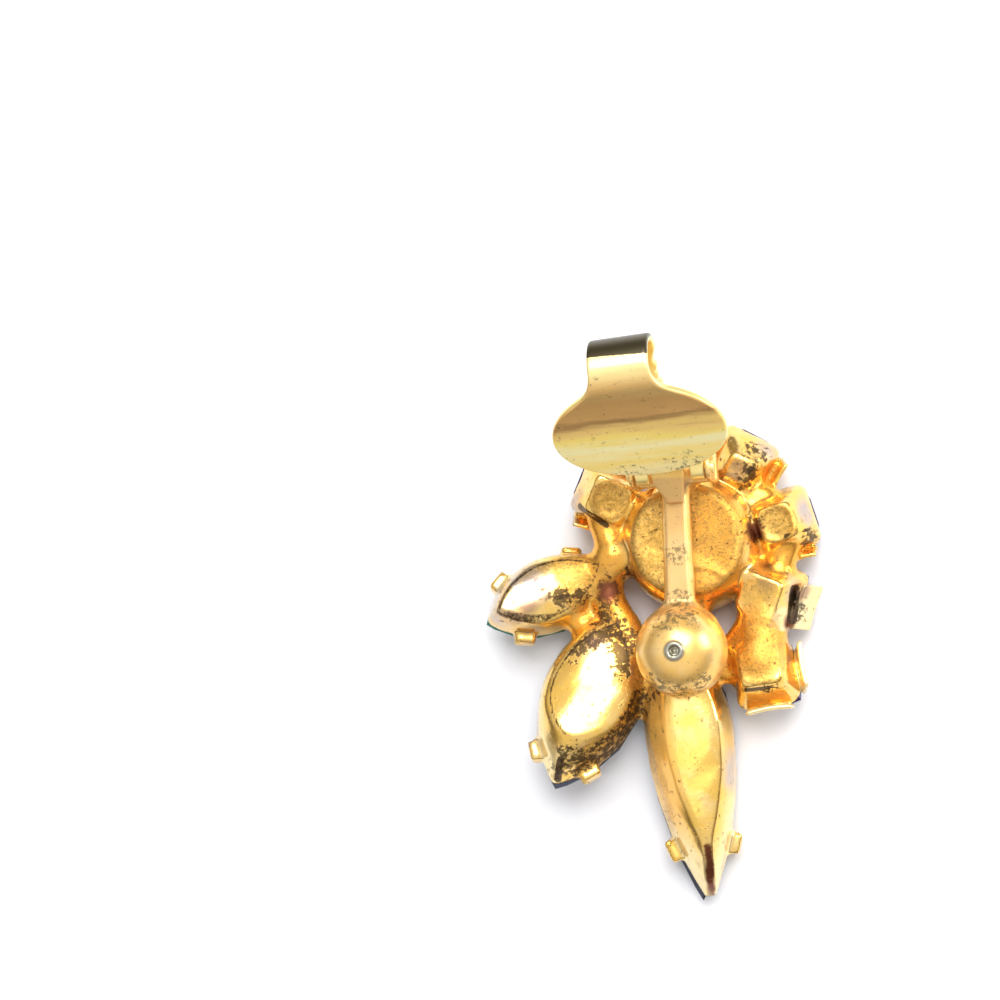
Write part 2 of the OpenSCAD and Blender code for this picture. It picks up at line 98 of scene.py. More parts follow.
# Pointed oval cups. Rings: height, half width, length to the tip, length to the head.
# Trims: how much of the tip and of the head is flattened.
OVALS = {
    "long": dict(
        spot=cup_spot((-0.73, -17.4, 0.4), 180, 13, 5),
        rings=((0.95, 3.05, 11.85, 6.7), (1.7, 3.03, 11.75, 6.7), (3.0, 2.75, 10.7, 6.5),
               (4.15, 2.2, 8.95, 6.1), (5.0, 1.68, 7.1, 5.8)),
        trims=((0.61, 0.04), (0.3, 0.3)), dome=0.06,
        grips=((-7.7, 0.8), (4.9, 0.4)), stone=(3.0, 11.4, 6.6, 0.12, -0.1, -3.0),
    ),
    "medium": dict(
        spot=cup_spot((-7.16, -15.1, 1.02), 244, 15, -24),
        rings=((0.95, 3.45, 6.65, 6.65), (1.7, 3.44, 6.6, 6.6), (3.0, 3.25, 5.7, 6.3),
               (4.0, 2.85, 4.4, 5.6), (4.55, 2.45, 3.6, 4.8)),
        trims=((0.12, 0.05), (0.5, 0.5)), dome=0.085,
        grips=((-4.8, 0.75), (3.9, 0.5)), stone=(3.45, 6.72, 6.6, 0.06, -0.1, 1.0),
    ),
    "small": dict(
        spot=cup_spot((-10.2, -7.85, 0.93), 215, 17, 293),
        rings=((0.95, 2.6, 4.7, 4.7), (1.6, 2.6, 4.66, 4.66), (2.6, 2.45, 4.4, 4.5),
               (3.4, 2.15, 4.1, 4.1), (3.95, 1.8, 3.75, 3.7)),
        trims=((0.1, 0.05), (0.4, 0.5)), dome=0.15,
        grips=((-2.6, 0.75), (2.6, 0.6)), stone=(2.62, 4.78, 4.7, 0.08, 0, 0),
    ),
}
# Square cups. Tabs: direction and tilt, which is below zero for one that hangs open.
# Flat: half the width of the back, which is pressed in by dip.
SQUARES = {
    "a": dict(spot=cup_spot((-5.75, -0.2, 0.5), 128, 20, -25),
              tabs=((270, 12), (90, 12)), flat=1.35, dip=0.1, shift=(0, 0)),
    "b": dict(spot=cup_spot((3.85, 1.2, 0.33), 105, 13, -31),
              tabs=((0, 12), (180, 12)), flat=0.85, dip=0.0, shift=(0, 0)),
    "c": dict(spot=cup_spot((6.75, -3.1, 0.2), 58, 7, 15),
              tabs=((270, 12),), flat=1.2, dip=0.14, shift=(0, 0)),
    "d": dict(spot=cup_spot((5.9, -8.05, 0.3), 20, 12, -22),
              tabs=((0, -20),), flat=1.35, dip=0.0, shift=(0, 0)),
    "e": dict(spot=cup_spot((5.0, -13.94, 0.8), 275, 14, 8),
              tabs=((0, 12), (270, 12)), flat=1.35, dip=0.0, shift=(0.15, -0.12)),
}
TAB_HALF, TAB_LONG, TAB_SHEET = 1.6, 2.3, 0.32
SQUARE_HALF = 2.15
SQUARE_BACK = 4.3
ROUND_SPOT = cup_spot((0.45, -4.4, 0), 0, 0, 0)
ROUND_RADIUS = 4.8
ROUND_BACK = 5.2

# Clip: the dome's middle, from the hinge line, and the heights of the flat metal
DOME_AT = (0, -11.86, -1.45)
DOME_RADIUS = 3.05
STEM_TOP = -1.35
PLATE_TOP, PLATE_FOOT = -1.45, -2.3
PIVOT_RADIUS, BORE_RADIUS = 0.42, 0.47


# Distances: each is below zero in the metal


def blend_low(a, b, soft):
    """The lower of two distances, with a fillet of about that size between them."""
    near = np.maximum(soft - np.abs(a - b), 0) / soft
    return np.minimum(a, b) - near * near * soft * 0.25


def blend_high(a, b, soft):
    return -blend_low(-a, -b, soft)


def all_of(soft, *distances):
    """What lies inside every one of these, with softened edges."""
    found = distances[0]
    for d in distances[1:]:
        found = blend_high(found, d, soft)
    return found


def rise(values, low, high):
    share = np.clip((values - low) / (high - low), 0, 1)
    return share * share * (3 - 2 * share)


def uneven(x, y, z):
    """Slow waves from -1 to 1, for metal that was poured or pressed by hand."""
    wave = np.sin(1.7 * x + 1.3 * np.sin(1.1 * y + 0.4)) * np.sin(1.5 * y + np.sin(1.4 * z))
    return wave * np.sin(1.9 * z + 0.8 * x + 1.0)


def slanted(g, z, low, high):
    """Distance outside the line from low to high, both (reach, height), going up."""
    run, up = high[0] - low[0], high[1] - low[1]
    return ((g - low[0]) * up - (z - low[1]) * run) / math.hypot(run, up)


def block(low, high, soft):
    """A box between two corners, with rounded edges."""
    middle = [(a + b) / 2 for a, b in zip(low, high)]
    half = [(b - a) / 2 for a, b in zip(low, high)]

    def shape(x, y, z):
        q = [np.abs(p - m) - h + soft for p, m, h in zip((x, y, z), middle, half)]
        outside = np.sqrt(sum(np.maximum(a, 0) ** 2 for a in q))
        return outside + np.minimum(np.maximum(np.maximum(q[0], q[1]), q[2]), 0) - soft

    return shape


def curled(shape, amount):
    """The same shape with its two side edges curling towards +x."""

    def bent(x, y, z):
        return shape(x - amount * y * y, y, z)

    return bent


def bar(start, end, radius, end_radius=None):
    """A round bar of solder between two points."""
    start, run = np.array(start, float), np.array(end, float) - np.array(start, float)
    grow = (radius if end_radius is None else end_radius) - radius

    def shape(x, y, z):
        dx, dy, dz = x - start[0], y - start[1], z - start[2]
        share = np.clip((dx * run[0] + dy * run[1] + dz * run[2]) / (run @ run), 0, 1)
        gap = np.sqrt(
            (dx - share * run[0]) ** 2 + (dy - share * run[1]) ** 2 + (dz - share * run[2]) ** 2
        )
        return gap - radius - share * grow

    return shape


def bow(length, width):
    """Radius of the arc from a pointed oval's tip to its widest place."""
    return (length**2 + width**2) / (2 * width)


def leaf_gap(x, y, width, tip, head):
    """Flat distance outside a pointed oval."""
    radius = bow(np.where(y < 0, tip, head), width)
    return np.hypot(np.abs(x) + radius - width, y) - radius


def ring_sizes(cup, y, z):
    """Half width and length of a pointed oval cup at each height."""
    heights, widths, tips, heads = zip(*cup["rings"])
    width, tip, head = 0, 0, 0
    for step in (-0.16, 0, 0.16):
        level = np.clip(z + step, heights[0], heights[-1])
        width = width + np.interp(level, heights, widths) / 3
        tip = tip + np.interp(level, heights, tips) / 3
        head = head + np.interp(level, heights, heads) / 3
    return width, tip, head, np.where(y < 0, tip, head)


def oval_cup(cup):
    """A pressed cup: at every height a pointed oval, which is shorter towards the back."""
    back = cup["rings"][-1][0]
    (tip_trim, tip_soft), (head_trim, head_soft) = cup["trims"]

    def shape(x, y, z):
        width, tip, head, length = ring_sizes(cup, y, z)
        radius = bow(length, width)
        left = np.hypot(x - (radius - width), y) - radius
        right = np.hypot(x + (radius - width), y) - radius
        side = 0.86 * blend_high(left, right, 0.1)
        ends = blend_high(side, 0.7 * (-y - tip + tip_trim), tip_soft)
        ends = blend_high(ends, 0.8 * (y - head + head_trim), head_soft)
        top = z - back + cup["dome"] * (x * x + 0.12 * (y + 1) ** 2)
        return all_of(0.12, all_of(0.22, ends, top), RIM_Z - z)

    return shape


def oval_seat(cup):
    """The hollow that the stone sits in."""
    _, width, tip, head = cup["rings"][0]
    inner, depth = width - WALL, cup["rings"][-1][0] - ROOF

    def shape(x, y, z):
        g = leaf_gap(x, y, width, tip, head) + width
        side = np.maximum(g - inner, slanted(g, z, (inner, RIM_Z + 0.6), (0.3, depth)))
        return np.maximum(side, z - depth)

    return shape


def square_cup(cup):
    """A pressed cup with four sloping faces and a flat or dented back."""
    half, mid, bend_z, flat = SQUARE_HALF, SQUARE_HALF - 0.06, 2.3, cup["flat"]

    def shape(x, y, z):
        faces = []
        for g in (x, -x, y, -y):
            wall = slanted(g, z, (half, RIM_Z), (mid, bend_z))
            slope = slanted(g, z, (mid, bend_z), (flat, SQUARE_BACK))
            faces.append(blend_high(wall, slope, 0.5))
        body = all_of(0.6, *faces)
        r = np.hypot(x, y)
        top = z - SQUARE_BACK + cup["dip"] * rise(-r, -1.2, -0.8)
        return all_of(0.12, all_of(0.16, body, r - half * 1.3, top), RIM_Z - z)

    return shape


def square_seat(x, y, z):
    inner = SQUARE_HALF - WALL
    g = np.maximum(np.abs(x), np.abs(y))
    return np.maximum(g - inner, slanted(g, z, (inner, 1.6), (0.3, 3.6)))


def round_cup(x, y, z):
    """The centre's pressed cup, with a smear of solder and a shallow dent on its back."""
    g = np.hypot(x, y)
    wall = g - ROUND_RADIUS
    low = slanted(g, z, (ROUND_RADIUS, 3.1), (ROUND_RADIUS - 0.4, 4.4))
    high = slanted(g, z, (ROUND_RADIUS - 0.4, 4.4), (ROUND_RADIUS - 1.15, ROUND_BACK))
    side = all_of(0.5, wall, low, high)
    smear = 0.07 * rise(-np.abs(np.hypot(x - 0.6, y + 4.3) - 2.5), -0.35, 0.0)
    dent = 0.12 * rise(-np.hypot(x - 2.0, y + 1.2), -2.2, 0.0)
    return all_of(0.12, all_of(0.25, side, z - ROUND_BACK - smear + dent), RIM_Z - z)


def round_seat(x, y, z):
    g = np.hypot(x, y)
    inner = ROUND_RADIUS - WALL
    return np.maximum(g - inner, slanted(g, z, (inner, 1.5), (0.55, 4.4)))


# Turning distances into a mesh


class Casting:
    """Metal built up and carved as distances to its surface, on a grid of small cells."""

    def __init__(self, low, high, pitch):
        self.low = np.array(low, float)
        self.pitch = pitch
        self.counts = np.ceil((np.array(high, float) - self.low) / pitch).astype(int) + 1
        self.gap = np.full(self.counts, FAR, np.float32)

    def lattice(self, first, last):
        axes = [self.low[k] + self.pitch * np.arange(first[k], last[k]) for k in range(3)]
        return np.meshgrid(*[a.astype(np.float32) for a in axes], indexing="ij", sparse=True)

    def window(self, spot, low, high, margin):
        """The part of the grid round a box, and where its cells lie in the box's frame."""
        corners = spot.out([[(low, high)[i >> k & 1][k] for k in range(3)] for i in range(8)])
        first = np.floor((corners.min(0) - margin - self.low) / self.pitch).astype(int)
        last = np.ceil((corners.max(0) + margin - self.low) / self.pitch).astype(int) + 1
        first, last = np.clip(first, 0, self.counts), np.clip(last, 0, self.counts)
        points = spot.local(self.lattice(first, last))
        return tuple(slice(a, b) for a, b in zip(first, last)), points

    def add(self, shape, spot, low, high, soft=0.1, margin=1.3):
        where, points = self.window(spot, low, high, margin)
        self.gap[where] = blend_low(self.gap[where], shape(*points), soft)

    def cut(self, shape, spot, low, high):
        where, points = self.window(spot, low, high, 0.5)
        self.gap[where] = blend_high(self.gap[where], -shape(*points), 0.08)

    def roughen(self, amount):
        """Lets the surface wander a little, slowly."""
        points = self.lattice((0, 0, 0), self.counts)
        self.gap += (amount * uneven(*points)).astype(np.float32)

    def read(self, points):
        """The distance at any points, between the cells' own."""
        place = (points - self.low) / self.pitch
        cell = np.clip(np.floor(place).astype(int), 0, self.counts - 2)
        share = place - cell
        total = 0
        for corner in range(8):
            step = np.array([corner >> k & 1 for k in range(3)])
            weight = np.prod(np.where(step, share, 1 - share), axis=1)
            total = total + weight * self.gap[tuple((cell + step).T)]
        return total

    def lean(self, points, reach):
        """The direction in which the distance grows fastest."""
        steps = np.eye(3) * reach
        grown = [self.read(points + s) - self.read(points - s) for s in steps]
        return np.stack(grown, 1) / (2 * reach)

    def skin(self):
        """Points and four-sided faces of the surface where the distance is zero."""
        corners, places = [], []
        strides = np.array([self.counts[1] * self.counts[2], self.counts[2], 1])
        for axis in range(3):
            ahead = [slice(None)] * 3
            behind = [slice(None)] * 3
            ahead[axis], behind[axis] = slice(1, None), slice(None, -1)
            near, far = self.gap[tuple(behind)], self.gap[tuple(ahead)]
            found = np.stack(np.nonzero((near < 0) != (far < 0)), 1)
            near, far = near[tuple(found.T)], far[tuple(found.T)]
            place = found.astype(float)
            place[:, axis] += near / (near - far)
            u, v = np.eye(3, dtype=int)[[(axis + 1) % 3, (axis + 2) % 3]]
            ring = np.stack([found - u - v, found - v, found, found - u], 1)
            ring[far < 0] = ring[far < 0][:, ::-1]
            corners.append((ring @ strides).reshape(-1))
            places.append(np.repeat(place, 4, 0))
        names, index = np.unique(np.concatenate(corners), return_inverse=True)
        places = np.concatenate(places)
        number = np.bincount(index)
        points = np.stack([np.bincount(index, places[:, k]) / number for k in range(3)], 1)
        points = points * self.pitch + self.low
        for _ in range(3):
            way = self.lean(points, self.pitch * 0.4)
            move = self.read(points)[:, None] * way / np.maximum((way**2).sum(1), 0.2)[:, None]
            points = points - np.clip(move, -self.pitch / 2, self.pitch / 2)
        return points, index.reshape(-1, 4)


def put(name, data):
    """A new object in the scene."""
    made = bpy.data.objects.new(name, data)
    bpy.context.scene.collection.objects.link(made)
    return made


def put_mesh(name, points, faces):
    """A new mesh in the scene, from points in millimetres."""
    mesh = bpy.data.meshes.new(name)
    mesh.from_pydata(points * MM, [], faces)
    return put(name, mesh)


def solid(name, casting):
    """A mesh of a casting, with the normals of the true surface."""
    points, faces = casting.skin()
    piece = put_mesh(name, points, faces.tolist())
    piece.data.shade_smooth()
    ways = casting.lean(points, casting.pitch * 0.8)
    ways /= np.maximum(np.linalg.norm(ways, axis=1), 1e-6)[:, None]
    piece.data.normals_split_custom_set_from_vertices(ways.tolist())
    print(name, len(points), "points", 2 * len(faces), "triangles")
    return piece


def vertices(piece):
    """A piece's points in millimetres."""
    points = np.zeros(len(piece.data.vertices) * 3)
    piece.data.vertices.foreach_get("co", points)
    return points.reshape(-1, 3) / MM


def mark(piece, marks):
    """Keeps numbers from 0 to 1 or so on each point, for the finish to read."""
    count = len(piece.data.vertices)
    for name, values in marks.items():
        kept = piece.data.attributes.new(name, "FLOAT", "POINT")
        kept.data.foreach_set("value", np.full(count, np.clip(values, 0, 1.5), np.float32))


# Solder: (from, to, radius, end radius), measured from under the hinge
SOLDER = [
    ((-5.7, -2.7, 2.9), (-4.8, -5.2, 3.0), 1.0, 1.15),
    ((-7.4, -6.2, 2.7), (-3.6, -5.0, 3.0), 1.0, 1.1),
    ((-5.0, -5.3, 3.1), (-3.2, -5.2, 3.0), 1.2, 1.0),
    ((-5.2, -5.6, 2.8), (-5.5, -8.3, 2.7), 0.95, 1.0),
    ((-5.5, -8.3, 2.6), (-4.4, -9.8, 2.8), 1.0, 1.0),
    ((-8.0, -8.8, 2.4), (-6.8, -10.6, 2.6), 1.0, 1.0),
    ((-4.6, -10.6, 2.8), (-3.6, -11.4, 3.0), 1.1, 1.3),
    ((-4.4, -13.6, 2.6), (-2.6, -13.6, 2.7), 1.0, 1.0),
    ((-3.6, -15.2, 2.3), (-2.4, -15.0, 2.4), 0.8, 0.8),
    ((0.3, -8.4, 3.2), (0.0, -11.0, 3.3), 1.3, 1.6),
    ((1.2, -13.2, 2.9), (3.4, -13.1, 2.8), 0.95, 1.0),
    ((5.3, -10.0, 3.1), (4.9, -12.6, 3.6), 1.45, 1.6),
    ((4.4, -10.4, 3.1), (3.4, -11.6, 3.0), 1.2, 1.1),
    ((6.9, -4.9, 2.7), (6.3, -6.6, 2.7), 1.0, 1.0),
    ((3.8, -6.4, 2.8), (4.9, -7.2, 2.8), 0.9, 1.0),
    ((4.4, -3.3, 2.7), (5.4, -3.3, 2.7), 0.9, 0.9),
    ((3.3, -1.6, 2.6), (5.6, -1.5, 2.5), 0.8, 0.8),
    ((-4.6, -1.6, 2.8), (-2.6, -2.0, 3.0), 0.8, 0.9),
]


def grip_spot(cup, at_y, side):
    """Where a folded tab stands on the wall of a pointed oval cup."""
    _, width, tip, head = cup["rings"][0]
    length = tip if at_y < 0 else head
    span = bow(length, width)
    x = math.sqrt(span**2 - at_y**2) - span + width - 0.1
    swing = math.degrees(math.asin(at_y / span))
    if side < 0:
        x, swing = -x, 180 - swing
    return cup["spot"].inner([x, at_y, 0], ("Z", swing))


def tab_spot(cup, way, tilt):
    """Where a wide tab stands beside a square cup."""
    swing = TAB_LONG * math.sin(math.radians(-tilt)) if tilt < 0 else 0
    side = cup["spot"].inner([0, 0, 0], ("Z", way))
    return side, side.inner([SQUARE_HALF - 0.1 + swing, 0, RIM_Z - 0.45], ("Y", tilt))


def add_block(metal, spot, low, high, edge, soft, curl=0.0):
    """Adds a piece of bent sheet: its edges' roundness, its fillet and its curl."""
    metal.add(curled(block(low, high, edge), curl), spot, low, high, soft=soft)


def oval_box(cup, foot, less=0):
    """Corners of the box round a pointed oval cup, from foot to its back or to less."""
    _, width, tip, head = cup["rings"][0]
    return (-width, -tip, foot), (width, head, cup["rings"][-1][0] - less)


def cast_cluster():
    metal = Casting((-12.4, -18.4, -0.3), (12.4, 15.2, 6.9), CLUSTER_CELL)
    r = ROUND_RADIUS
    metal.add(round_cup, ROUND_SPOT, (-r, -r, 0.9), (r, r, ROUND_BACK), soft=0.5)
    for cup in OVALS.values():
        metal.add(oval_cup(cup), cup["spot"], *oval_box(cup, 0.9), soft=0.5)
    for cup in SQUARES.values():
        metal.add(square_cup(cup), cup["spot"], (-2.2, -2.2, 0.9), (2.2, 2.2, 4.3), soft=0.5)
    for start, end, radius, end_radius in SOLDER:
        low = np.minimum(start, end) - max(radius, end_radius)
        high = np.maximum(start, end) + max(radius, end_radius)
        metal.add(bar(start, end, radius, end_radius), CLUSTER, low, high, soft=0.7, margin=1.4)
    base = bar((0, DOME_AT[1], 3.2), (0, DOME_AT[1], 3.9), 2.2, 2.3)
    metal.add(base, CLUSTER, (-2.4, -14.4, 1.5), (2.4, -9.4, 6.2), soft=0.9)
    metal.roughen(0.035)
    metal.cut(round_seat, ROUND_SPOT, (-4.4, -4.4, -1), (4.4, 4.4, 4.4))
    for cup in OVALS.values():
        metal.cut(oval_seat(cup), cup["spot"], *oval_box(cup, -1, ROOF))
    for cup in SQUARES.values():
        metal.cut(square_seat, cup["spot"], (-1.8, -1.8, -1), (1.8, 1.8, 3.7))
    for cup in OVALS.values():
        for at_y, deep in cup["grips"]:
            for side in (-1, 1):
                spot = grip_spot(cup, at_y, side)
                add_block(metal, spot, (-0.3, -0.75, 0.6), (deep, 0.75, 2.15), 0.25, 0.3)
                add_block(metal, spot, (-0.35, -0.55, 0.3), (0.45, 0.55, 0.7), 0.15, 0.25)
                slot = block((deep - 0.45, -0.95, 0.9), (deep - 0.15, -0.3, 2.0), 0.1)
                metal.cut(slot, spot, (0, -1, 0.8), (0.8, -0.3, 2.1))
    for cup in SQUARES.values():
        for way, tilt in cup["tabs"]:
            side, wing = tab_spot(cup, way, tilt)
            low, high = (0, -TAB_HALF, 0), (TAB_SHEET, TAB_HALF, TAB_LONG)
            add_block(metal, wing, low, high, 0.14, 0.22, 0.05)
            if tilt > 0:
                add_block(metal, side, (1.5, -1.1, 0.36), (2.3, 1.1, 0.62), 0.12, 0.15)
    return solid("cluster_metal", metal)


def dome(x, y, z):
    """The domed pad with a small ring round a pit on top."""
    r = np.hypot(x, y)
    ball = np.sqrt(x * x + y * y + z * z) - DOME_RADIUS
    edge = all_of(0.15, r - DOME_RADIUS - 0.03, z - 0.12, -0.5 - z)
    cap = blend_low(all_of(0.12, ball, -0.5 - z), edge, 0.1)
    nib = all_of(0.1, r - 0.6, z - DOME_RADIUS - 0.14, DOME_RADIUS - 0.5 - z)
    cap = blend_low(cap, nib, 0.15)
    pit = all_of(0.08, r - 0.33, DOME_RADIUS - 0.12 - z)
    cap = blend_high(cap, -pit, 0.08)
    pin = all_of(0.1, r - 0.16, z - DOME_RADIUS)
    return blend_low(cap, pin, 0.08)


def stem(x, y, z):
    """A bar with a flat top and a bevel down each side, flaring into the dome."""
    flare = 1.25 * rise(-y, 7.9, 9.9) ** 2
    half = 0.9 - 0.015 * y + flare
    top = z - STEM_TOP
    side = np.abs(x) - half
    bevel = (side + 0.27 + top * 0.8) / 1.28
    body = all_of(0.06, side, bevel, top, -2.2 - z)
    return all_of(0.1, body, y + 0.4, -10.8 - y)


def hinge_plate(x, y, z):
    """A small plate with an upright ear at each end, bored for the lever's pivots."""
    plate = block((-2.9, -0.75, PLATE_FOOT), (2.9, 1.9, PLATE_TOP), 0.12)(x, y, z)
    across = np.abs(x)
    ear = np.minimum(np.hypot(y, z) - 0.95, np.maximum(np.abs(y) - 0.9, z))
    ears = all_of(0.08, ear, 2.42 - across, across - 2.74, -2.2 - z)
    ears = np.maximum(ears, -(np.hypot(y, z) - BORE_RADIUS))
    return blend_low(plate, ears, 0.2)


def touch(start, hub, radius, way):
    """Where a line from start touches the circle round hub."""
    gap = hub - start
    far = np.linalg.norm(gap)
    angle = math.atan2(gap[1], gap[0]) + way * math.asin(radius / far)
    return start + math.sqrt(far**2 - radius**2) * np.array((math.cos(angle), math.sin(angle)))


def near_line(y, z, start, end):
    """Distance from a straight piece of the spring's side view."""
    run = end - start
    share = np.clip(((y - start[0]) * run[0] + (z - start[1]) * run[1]) / (run @ run), 0, 1)
    return np.hypot(y - start[0] - share * run[0], z - start[1] - share * run[1])


def spring(x, y, z):
    """A strip that rises from the plate, goes round and comes down as a tongue."""
    hub, low, end = np.array((3.6, 1.9)), np.array((1.6, -1.85)), np.array((-1.85, -0.98))
    radius = 1.5
    rise_at, fall_at = touch(low, hub, radius, -1), touch(end, hub, radius, 1)
    gap = np.minimum(near_line(y, z, low, rise_at), near_line(y, z, end, fall_at))
    start = math.atan2(*(rise_at - hub)[::-1])
    sweep = (math.atan2(*(fall_at - hub)[::-1]) - start) % (2 * math.pi)
    angle = (np.arctan2(z - hub[1], y - hub[0]) - start) % (2 * math.pi)
    ring = np.abs(np.hypot(y - hub[0], z - hub[1]) - radius)
    gap = np.where(angle <= sweep, np.minimum(gap, ring), gap)
    left = np.interp(y, (-1.75, -0.75, 5), (0.6, 1.2, 1.2))
    right = np.interp(y, (-1.75, -0.15, 1.15, 5), (0.6, 1.0, 1.2, 1.2))
    return all_of(0.1, gap - 0.2, (x - right) * 0.85, (-x - left) * 0.75)


def cast_clip_frame():
    metal = Casting((-1.5, -4.9, 3.0), (6.3, 17.0, 12.6), CLIP_CELL)
    metal.add(dome, Spot(CLIP.out(DOME_AT)), (-3.1, -3.1, -0.6), (3.1, 3.1, 3.4))
    metal.add(stem, CLIP, (-1.3, -11.5, -2.3), (1.3, -0.3, -1.3), soft=0.4)
    metal.add(hinge_plate, HINGE_SPOT, (-2.9, -1, -2.3), (2.9, 1.9, 1), soft=0.2)
    post = bar((0, -0.2, -3.4), (0, 0, -2.2), 1.6, 1.35)
    metal.add(post, HINGE_SPOT, (-1.7, -1.7, -5), (1.7, 1.7, -1.5), soft=0.5)
    metal.roughen(0.012)
    metal.add(spring, HINGE_SPOT, (-1.2, -2, -2.2), (1.2, 5.4, 3.7), soft=0.06)
    return solid("clip_frame", metal)


# Lever, along its strip: leg, fold, neck and paddle
LEG_ANGLE, LEG, FOLD_RADIUS, SWEEP, NECK = 60.4, 13.3, 2.0, 173.5, 3.3
LEVER_SHEET, LEVER_LEAN = 0.5, 1.3
LEVER_SPOT = HINGE_SPOT.inner([0, 0, 0], ("X", LEG_ANGLE), ("Z", LEVER_LEAN), ("X", -LEG_ANGLE))
LEVER_WIDTHS = ((2.6, 2.3), (4.6, 1.85), (5.0, 1.85), (7.0, 1.5), (12.1, 1.5), (13.1, 1.85))
PADDLE_LONG, PADDLE_SHORT, PADDLE_TURN, PADDLE_SHIFT = 5.36, 3.93, -3.0, 0.25
PADDLE_RIM_Y, PADDLE_NECK_Y = 9.0, 16.0


def unroll(y, z):
    """How far along the lever strip a point lies, and how far off its middle surface."""
    angle, sweep = math.radians(LEG_ANGLE), math.radians(SWEEP)
    ahead = np.array((math.cos(angle), math.sin(angle)))
    left = np.array((-math.sin(angle), math.cos(angle)))
    way = np.array((math.cos(angle + sweep), math.sin(angle + sweep)))
    side = np.array((-math.sin(angle + sweep), math.cos(angle + sweep)))
    hub = LEG * ahead + FOLD_RADIUS * left
    neck_start = hub - FOLD_RADIUS * side
    s_leg, n_leg = y * ahead[0] + z * ahead[1], y * left[0] + z * left[1]
    turn_by = (np.arctan2(z - hub[1], y - hub[0]) - (angle - math.pi / 2)) % (2 * math.pi)
    n_fold = FOLD_RADIUS - np.hypot(y - hub[0], z - hub[1])
    s_neck = (y - neck_start[0]) * way[0] + (z - neck_start[1]) * way[1]
    n_neck = (y - neck_start[0]) * side[0] + (z - neck_start[1]) * side[1]
    use_neck = np.abs(n_neck) + np.maximum(-s_neck, 0) < np.abs(n_leg) + np.maximum(s_leg - LEG, 0)
    straight = LEG + FOLD_RADIUS * sweep
    along = np.where(use_neck, straight + s_neck, s_leg)
    off = np.where(use_neck, n_neck, n_leg)
    on_fold = turn_by <= sweep
    along = np.where(on_fold, LEG + FOLD_RADIUS * turn_by, along)
    return along, np.where(on_fold, n_fold, off), straight + NECK


def paddle_plan(u, v):
    """Flat distance outside the paddle's oval."""
    scale = np.hypot(u / PADDLE_LONG, v / PADDLE_SHORT)
    steep = np.hypot(u / PADDLE_LONG**2, v / PADDLE_SHORT**2)
    return scale * (scale - 1) / np.maximum(steep, 1e-3)


def lever_strip(x, y, z):
    """The lever's one strip: a leg with a window, a fold, a neck and a bellied paddle."""
    along, off, middle = unroll(y, z)
    s = along - middle
    angle = math.radians(PADDLE_TURN)
    u = (x - PADDLE_SHIFT) * math.cos(angle) - s * math.sin(angle)
    v = -(x - PADDLE_SHIFT) * math.sin(angle) - s * math.cos(angle)
    width = np.interp(along, *zip(*LEVER_WIDTHS))
    burr = 0.13 * np.sin(along * 5.1) * np.sin(along * 2.3 + 1)
    burr = burr * rise(along, 5, 6) * rise(-along, -12.5, -11)
    strip = np.maximum(np.abs(x) - width - np.where(x > 0, burr, 0), np.maximum(-along, s - 2))
    oval = paddle_plan(u, v)
    plan = blend_low(strip, oval, 1.5)
    window = block((-1.4, -1, -1), (1.4, 3.7, 1), 0.6)(x, along, 0 * off)
    plan = blend_high(plan, -window, 0.1)
    inside = rise(-oval, 0.0, 0.7) * rise(s, -4.2, -3.0)
    wave = v + 0.012 * u * u - 0.05 * u + 0.25 * np.sin(0.5 * u)
    ripple = np.sin(4.1 * wave) + 0.6 * np.sin(9.5 * wave + 0.7 * u)
    terrace = 0.0028 * ripple * inside
    belly = 0.02 * v * v * rise(s, -5.5, -3.0)
    sheet = np.abs(off - belly) - LEVER_SHEET / 2
    sheet = np.where(off < belly, sheet + terrace, sheet)
    return all_of(0.16, sheet, plan)


def lever_eyes(x, y, z):
    """The curled ends of the leg, with a stub pivot out of each."""
    across, r = np.abs(x), np.hypot(y, z)
    eyes = all_of(0.08, r - 0.8, 1.4 - across, across - 2.3)
    stubs = all_of(0.06, r - PIVOT_RADIUS, 2.0 - across, across - 2.94)
    return np.minimum(eyes, stubs)


def cast_lever():
    metal = Casting((-4.2, 7.5, 6.8), (8.8, 22.0, 23.6), LEVER_CELL)
    metal.add(lever_eyes, HINGE_SPOT, (-3, -1, -1), (3, 1, 1), soft=0.3)
    metal.add(lever_strip, LEVER_SPOT, (-5.6, -2.5, -0.8), (5.6, 9, 15), soft=0.3, margin=0.4)
    return solid("lever", metal)


# Stones


def pointed(width, tip, head):
    """Outline of a pointed oval, by angle."""

    def at(angle):
        length = tip if math.sin(angle) < 0 else head
        y = math.sin(angle) * length
        radius = bow(length, width)
        x = math.sqrt(radius**2 - y**2) - radius + width
        return np.array((math.copysign(x, math.cos(angle)), y))

    return at


def squarish(half, roundness):
    """Outline of a square with rounded corners, or at roundness 2 of a circle."""

    def at(angle):
        c, s = math.cos(angle), math.sin(angle)
        reach = (abs(c) ** roundness + abs(s) ** roundness) ** (1 / roundness)
        return half * np.array((c, s)) / reach

    return at


